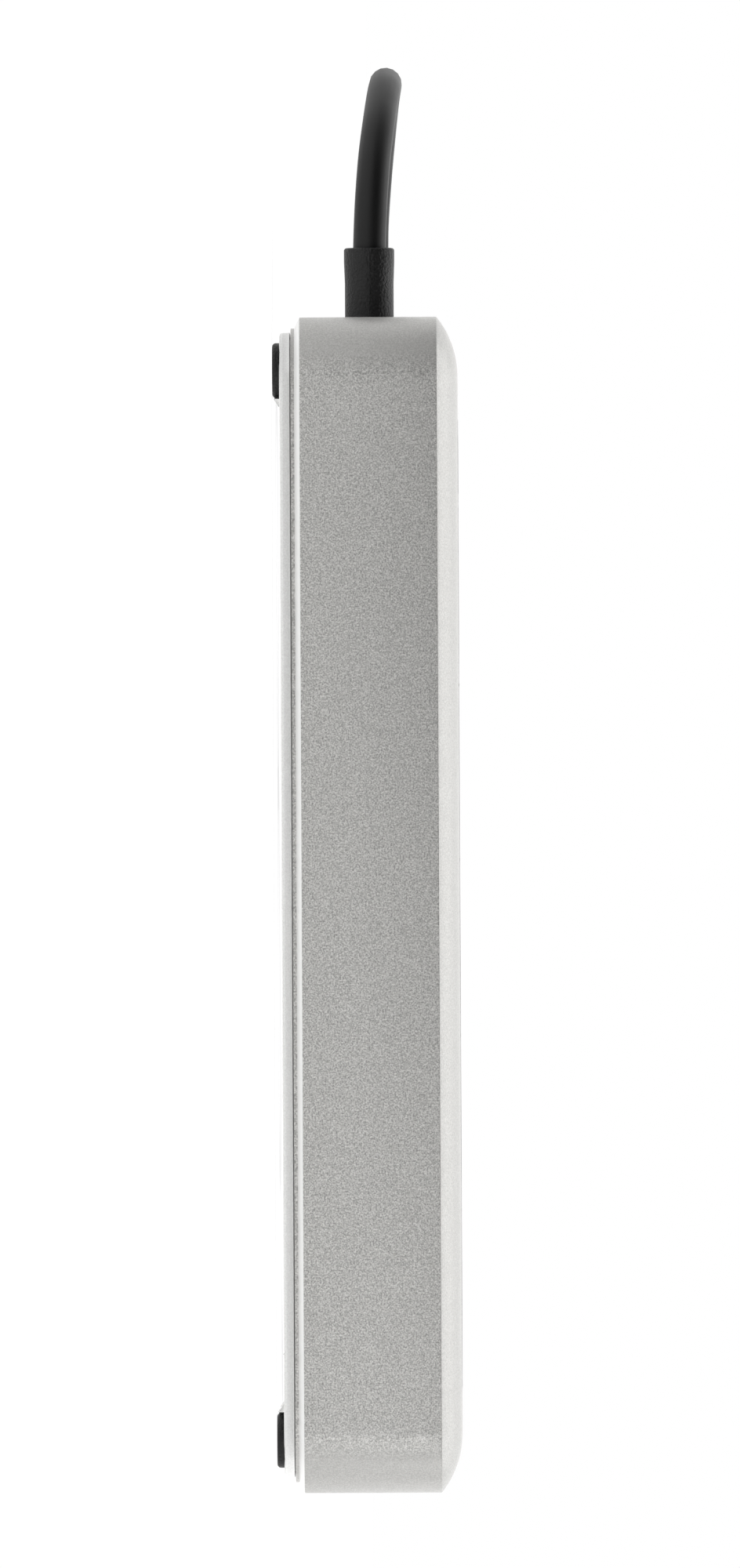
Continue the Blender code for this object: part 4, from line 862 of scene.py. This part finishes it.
def socket_mesh():
    """One socket module with rounded rims, about x = 0 and y = 0."""
    half = (MODULE - GAP) / 2
    plate = softened(boxes("plate", [((-half, -half, Z_FLANGE), (half, half, Z_TOP))]), FLANGE_ROUND)
    cup = cones("cup", [((0, 0, Z_SKIRT), (0, 0, Z_FLANGE + JOIN), CUP_RADIUS, CUP_RADIUS)])
    skirt = CUP_RADIUS - SKIRT_WALL
    under = [(0, Z_UNDER), (skirt, Z_UNDER), (skirt, Z_SKIRT - PAST), (0, Z_SKIRT - PAST)]
    guide_top = Z_TOP - GUIDE_BELOW_TOP
    guides = pair(WELL_RADIUS - GUIDE_DEPTH, WELL_RADIUS + JOIN, GUIDE_WIDTH, Z_WELL - JOIN, guide_top)
    guides = softened(boxes("guides", guides), GUIDE_ROUND)
    pins = at_pins(Z_UNDER - PAST, Z_WELL + PAST, PIN_HOLE_RADIUS, PIN_HOLE_RADIUS)
    narrow, wide = PIN_HOLE_RADIUS - PIN_LEAD_IN, PIN_HOLE_RADIUS + 2 * PIN_LEAD_IN
    leads = at_pins(Z_WELL - 2 * PIN_LEAD_IN, Z_WELL + PIN_LEAD_IN, narrow, wide)
    pockets = boxes("pockets", pair(CLIP_NEAR, CLIP_FAR, CLIP_SLOT, Z_SKIRT - PAST, Z_CLIP_TOP))
    steps = [
        ("UNION", cup),
        ("DIFFERENCE", turned("well", well_profile())),
        ("DIFFERENCE", turned("under", under)),
        ("UNION", on_line(guides, TURN)),
        ("DIFFERENCE", on_line(cones("pins", pins, PIN_STEPS), TURN)),
        ("DIFFERENCE", on_line(cones("leads", leads, PIN_STEPS), TURN)),
        ("DIFFERENCE", on_line(pockets, TURN - QUARTER)),
    ]
    return smooth(shaped("socket", plate, steps))


def sockets():
    master = socket_mesh()
    for i, x in enumerate(SOCKET_X):
        mesh = master.copy()
        mesh.transform(Matrix.Translation((x, 0, 0)))
        piece(f"socket_{i + 1}", mesh, f"socket_insert_{i + 1}")


def plug_profile():
    """The plug from its face, at z = 0, back to the end of its ribbed sleeve."""
    corners = [
        (0.0, 0.0),
        (PLUG_RADIUS, 0.0),
        (PLUG_RADIUS, -PLUG_RIM),
        (0.85 * PLUG_RADIUS, -PLUG_RIM - 0.2 * PLUG_BODY),
        (PLUG_NECK_RADIUS, -0.85 * PLUG_BODY),
        (PLUG_SLEEVE_RADIUS, -PLUG_BODY),
    ]
    rounds = list(PLUG_ROUNDS)
    stretches = 2 * PLUG_RIBS
    step = PLUG_SLEEVE / stretches
    for k in range(stretches):
        radius = PLUG_SLEEVE_RADIUS + k / stretches * (PLUG_TIP_RADIUS - PLUG_SLEEVE_RADIUS)
        groove = PLUG_RIB_DEPTH if k % 2 else 0.0
        slope = 0.3 * step if k else 0.1 * step
        corners.append((radius - groove, -PLUG_BODY - k * step - slope))
        corners.append((radius - groove, -PLUG_BODY - (k + 1) * step))
        rounds += [PLUG_RIB_ROUND, PLUG_RIB_ROUND]
    rounds[-1] = 0
    end = -PLUG_BODY - PLUG_SLEEVE - GAP / 2
    return filleted([*corners, (PLUG_TIP_RADIUS - PLUG_RIB_DEPTH, end), (0.0, end)], [*rounds, 0, 0])


def plug_mesh():
    """The moulding with its earth ways, side notches and pin holes, about its own axis."""
    far = PLUG_RADIUS + PAST
    ways = boxes("ways", pair(PLUG_RADIUS - PLUG_EARTH_DEPTH, far, PLUG_EARTH_WAY, -PLUG_RIM, PAST))
    notches = pair(PLUG_RADIUS - PLUG_NOTCH_DEPTH, far, PLUG_NOTCH, -PLUG_RIM - PAST, PAST)
    hole = PLUG_PIN_RADIUS + GAP
    holes = on_line(cones("pin_ways", at_pins(-PLUG_PIN_IN, PAST, hole, hole), HOLE_STEPS), QUARTER)
    cutters = (ways, on_line(boxes("notches", notches), QUARTER), holes)
    steps = [("DIFFERENCE", cutter) for cutter in cutters]
    return shaped("plug_moulding", turned("plug_moulding", plug_profile()), steps)


def plug():
    """The plug lying on its rim with its pins and earth strips."""
    lay = Matrix.Translation((PLUG_FACE_X, PLUG_Y, PLUG_Z)) @ Matrix.Rotation(QUARTER, 4, "Y")
    mesh = plug_mesh()
    mesh.transform(lay)
    made = [piece("plug_moulding", smooth(mesh), "plug_body")]
    foot = GAP - PLUG_PIN_IN
    corners = [(0, PLUG_PIN_OUT), (PLUG_PIN_RADIUS, PLUG_PIN_OUT), (PLUG_PIN_RADIUS, foot), (0, foot)]
    pin = filleted(corners, [0, PLUG_PIN_ROUND, 0, 0])
    for i, s in enumerate((-1, 1)):
        mesh = turned("pin", pin, PIN_STEPS)
        mesh.transform(lay @ Matrix.Translation((0, s * PIN_PITCH / 2, 0)))
        made.append(piece(f"pin_{i + 1}", smooth(mesh), f"plug_pin_{i + 1}"))
    for i in (1, 2):
        made.append(cad_copy(f"plug_earth_{i}", f"earth_strip_{i}", bevel=EARTH_ROUND))
    return made


def tie():
    """The strap round the hank, a little thinner underneath."""
    made = cad_copy("cord_tie", "strap", bevel=STRAP_ROUND)
    for corner in made.data.vertices:
        corner.co.z = max(corner.co.z, TIE_LOW)
    return made


def screw_heads():
    """Screws with a cross recess in the head."""
    for i in range(CORNERS):
        node = f"base_screw_{i + 1}"
        low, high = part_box(node)
        x, y = (low.x + high.x) / 2, (low.y + high.y) / 2
        slits = []
        for wide, deep in ((CROSS_HALF, CROSS_SLIT), (CROSS_SLIT, CROSS_HALF)):
            span = ((x - wide, y - deep, low.z - PAST), (x + wide, y + deep, low.z + CROSS_DEPTH))
            slits.append(("DIFFERENCE", boxes("slit", [span])))
        piece(f"screw_{i + 1}", smooth(shaped("screw", cad_mesh(node), slits)), node)


def dress_inside():
    """Pieces whose solids are shown as they are get their finish."""
    for node, shown in NODES.items():
        if shown.hide_render:
            continue
        shown.data.materials.clear()
        shown.data.materials.append(FINISHES[SLOTS[node]])


def white_for(tree, rays, share, shader, white, output):
    """Mixes plain white into a shader, by a share, for the kinds of ray that are named."""
    path = tree.nodes.new("ShaderNodeLightPath")
    seen = path.outputs[rays[0]]
    for ray in rays[1:]:
        seen = calculated(tree, "MAXIMUM", seen, path.outputs[ray])
    mix = tree.nodes.new("ShaderNodeMixShader")
    white.inputs["Color"].default_value = WHITE
    white.inputs["Strength"].default_value = 1.0
    tree.links.new(calculated(tree, "MULTIPLY", seen, share), mix.inputs["Fac"])
    tree.links.new(shader.outputs[0], mix.inputs[1])
    tree.links.new(white.outputs[0], mix.inputs[2])
    tree.links.new(mix.outputs[0], output.inputs["Surface"])


def floor():
    """A white table top that lights the underside a little and keeps a soft shadow."""
    bpy.ops.mesh.primitive_plane_add(size=FLOOR_SIZE, location=(0, 0, 0))
    made = bpy.context.object
    made.name = "floor"
    paint, tree, shader = principled("floor_white")
    shader.inputs["Base Color"].default_value = (FLOOR_ALBEDO, FLOOR_ALBEDO, FLOOR_ALBEDO, 1)
    shader.inputs["Roughness"].default_value = FLOOR_ROUGH
    shader.inputs["Specular IOR Level"].default_value = 0.0
    shader.inputs["Emission Color"].default_value = WHITE
    shader.inputs["Emission Strength"].default_value = FLOOR_GLOW
    rays = ("Is Camera Ray", "Is Glossy Ray", "Is Transmission Ray")
    white = tree.nodes.new("ShaderNodeEmission")
    white_for(tree, rays, FLOOR_WHITE, shader, white, tree.nodes["Material Output"])
    made.data.materials.append(paint)


def world():
    """White to the camera. For light and reflections it is dimmer towards the front and the cord's end."""
    made = bpy.data.worlds.new("studio")
    bpy.context.scene.world = made
    made.use_nodes = True
    tree = made.node_tree
    shader = tree.nodes["Background"]
    place = tree.nodes.new("ShaderNodeTexCoord")
    along = tree.nodes.new("ShaderNodeVectorMath")
    along.operation = "DOT_PRODUCT"
    along.inputs[1].default_value = (math.sin(WORLD_TURN), math.cos(WORLD_TURN), 0)
    tree.links.new(place.outputs["Generated"], along.inputs[0])
    level = ranged(tree, along.outputs["Value"], WORLD_RAMP, "SMOOTHSTEP")
    tree.links.new(level, shader.inputs["Strength"])
    shader.inputs["Color"].default_value = WHITE
    rays = ("Is Camera Ray", "Is Transmission Ray")
    white = tree.nodes.new("ShaderNodeBackground")
    white_for(tree, rays, 1.0, shader, white, tree.nodes["World Output"])


def lights():
    """Rectangular lamps, each turned to its aim."""
    for name, place, aim, size, watts in LAMPS:
        light = bpy.data.lights.new(name, "AREA")
        light.shape = "RECTANGLE"
        light.size, light.size_y = size
        light.energy = watts
        made = link(bpy.data.objects.new(name, light))
        made.location = place
        made.rotation_euler = (Vector(aim) - Vector(place)).to_track_quat("-Z", "Y").to_euler()


def camera():
    """Beside the strip and a little above it, rolled so that the strip stands on its end in the picture."""
    lens = bpy.data.cameras.new("camera")
    lens.sensor_width = SENSOR_MM
    lens.lens = SENSOR_MM * CAMERA_AWAY / IMAGE_HEIGHT
    made = link(bpy.data.objects.new("camera", lens))
    aim = Vector((CAMERA_X, -BODY_WIDTH / 2, AIM_Z))
    stand = Vector((CAMERA_X, aim.y - CAMERA_AWAY, CAMERA_Z))
    back = (stand - aim).normalized()
    right = Vector((-math.cos(ROLL), 0, math.sin(ROLL))).cross(back).normalized()
    place = Matrix((right, back.cross(right), back)).transposed().to_4x4()
    place.translation = stand
    made.matrix_world = place
    bpy.context.scene.camera = made


camera()
cord = lead()
housing()
sleeve_pieces = sleeve()
feet()
sockets()
plug_pieces = plug()
strap = tie()
cad_copy("base_cover", "base")
cad_copy("switch_frame", "switch_body", bevel=SWITCH_ROUND)
cad_copy("rocker", "rocker_cap", "switch_rocker", bevel=ROCKER_ROUND)
for number in range(SOCKETS):
    cad_copy(f"shutter_{number + 1}", f"shutter_disc_{number + 1}", f"turning_shutter_{number + 1}")
screw_heads()
dress_inside()
floor()
world()
lights()
bpy.context.scene.view_settings.view_transform = "Standard"
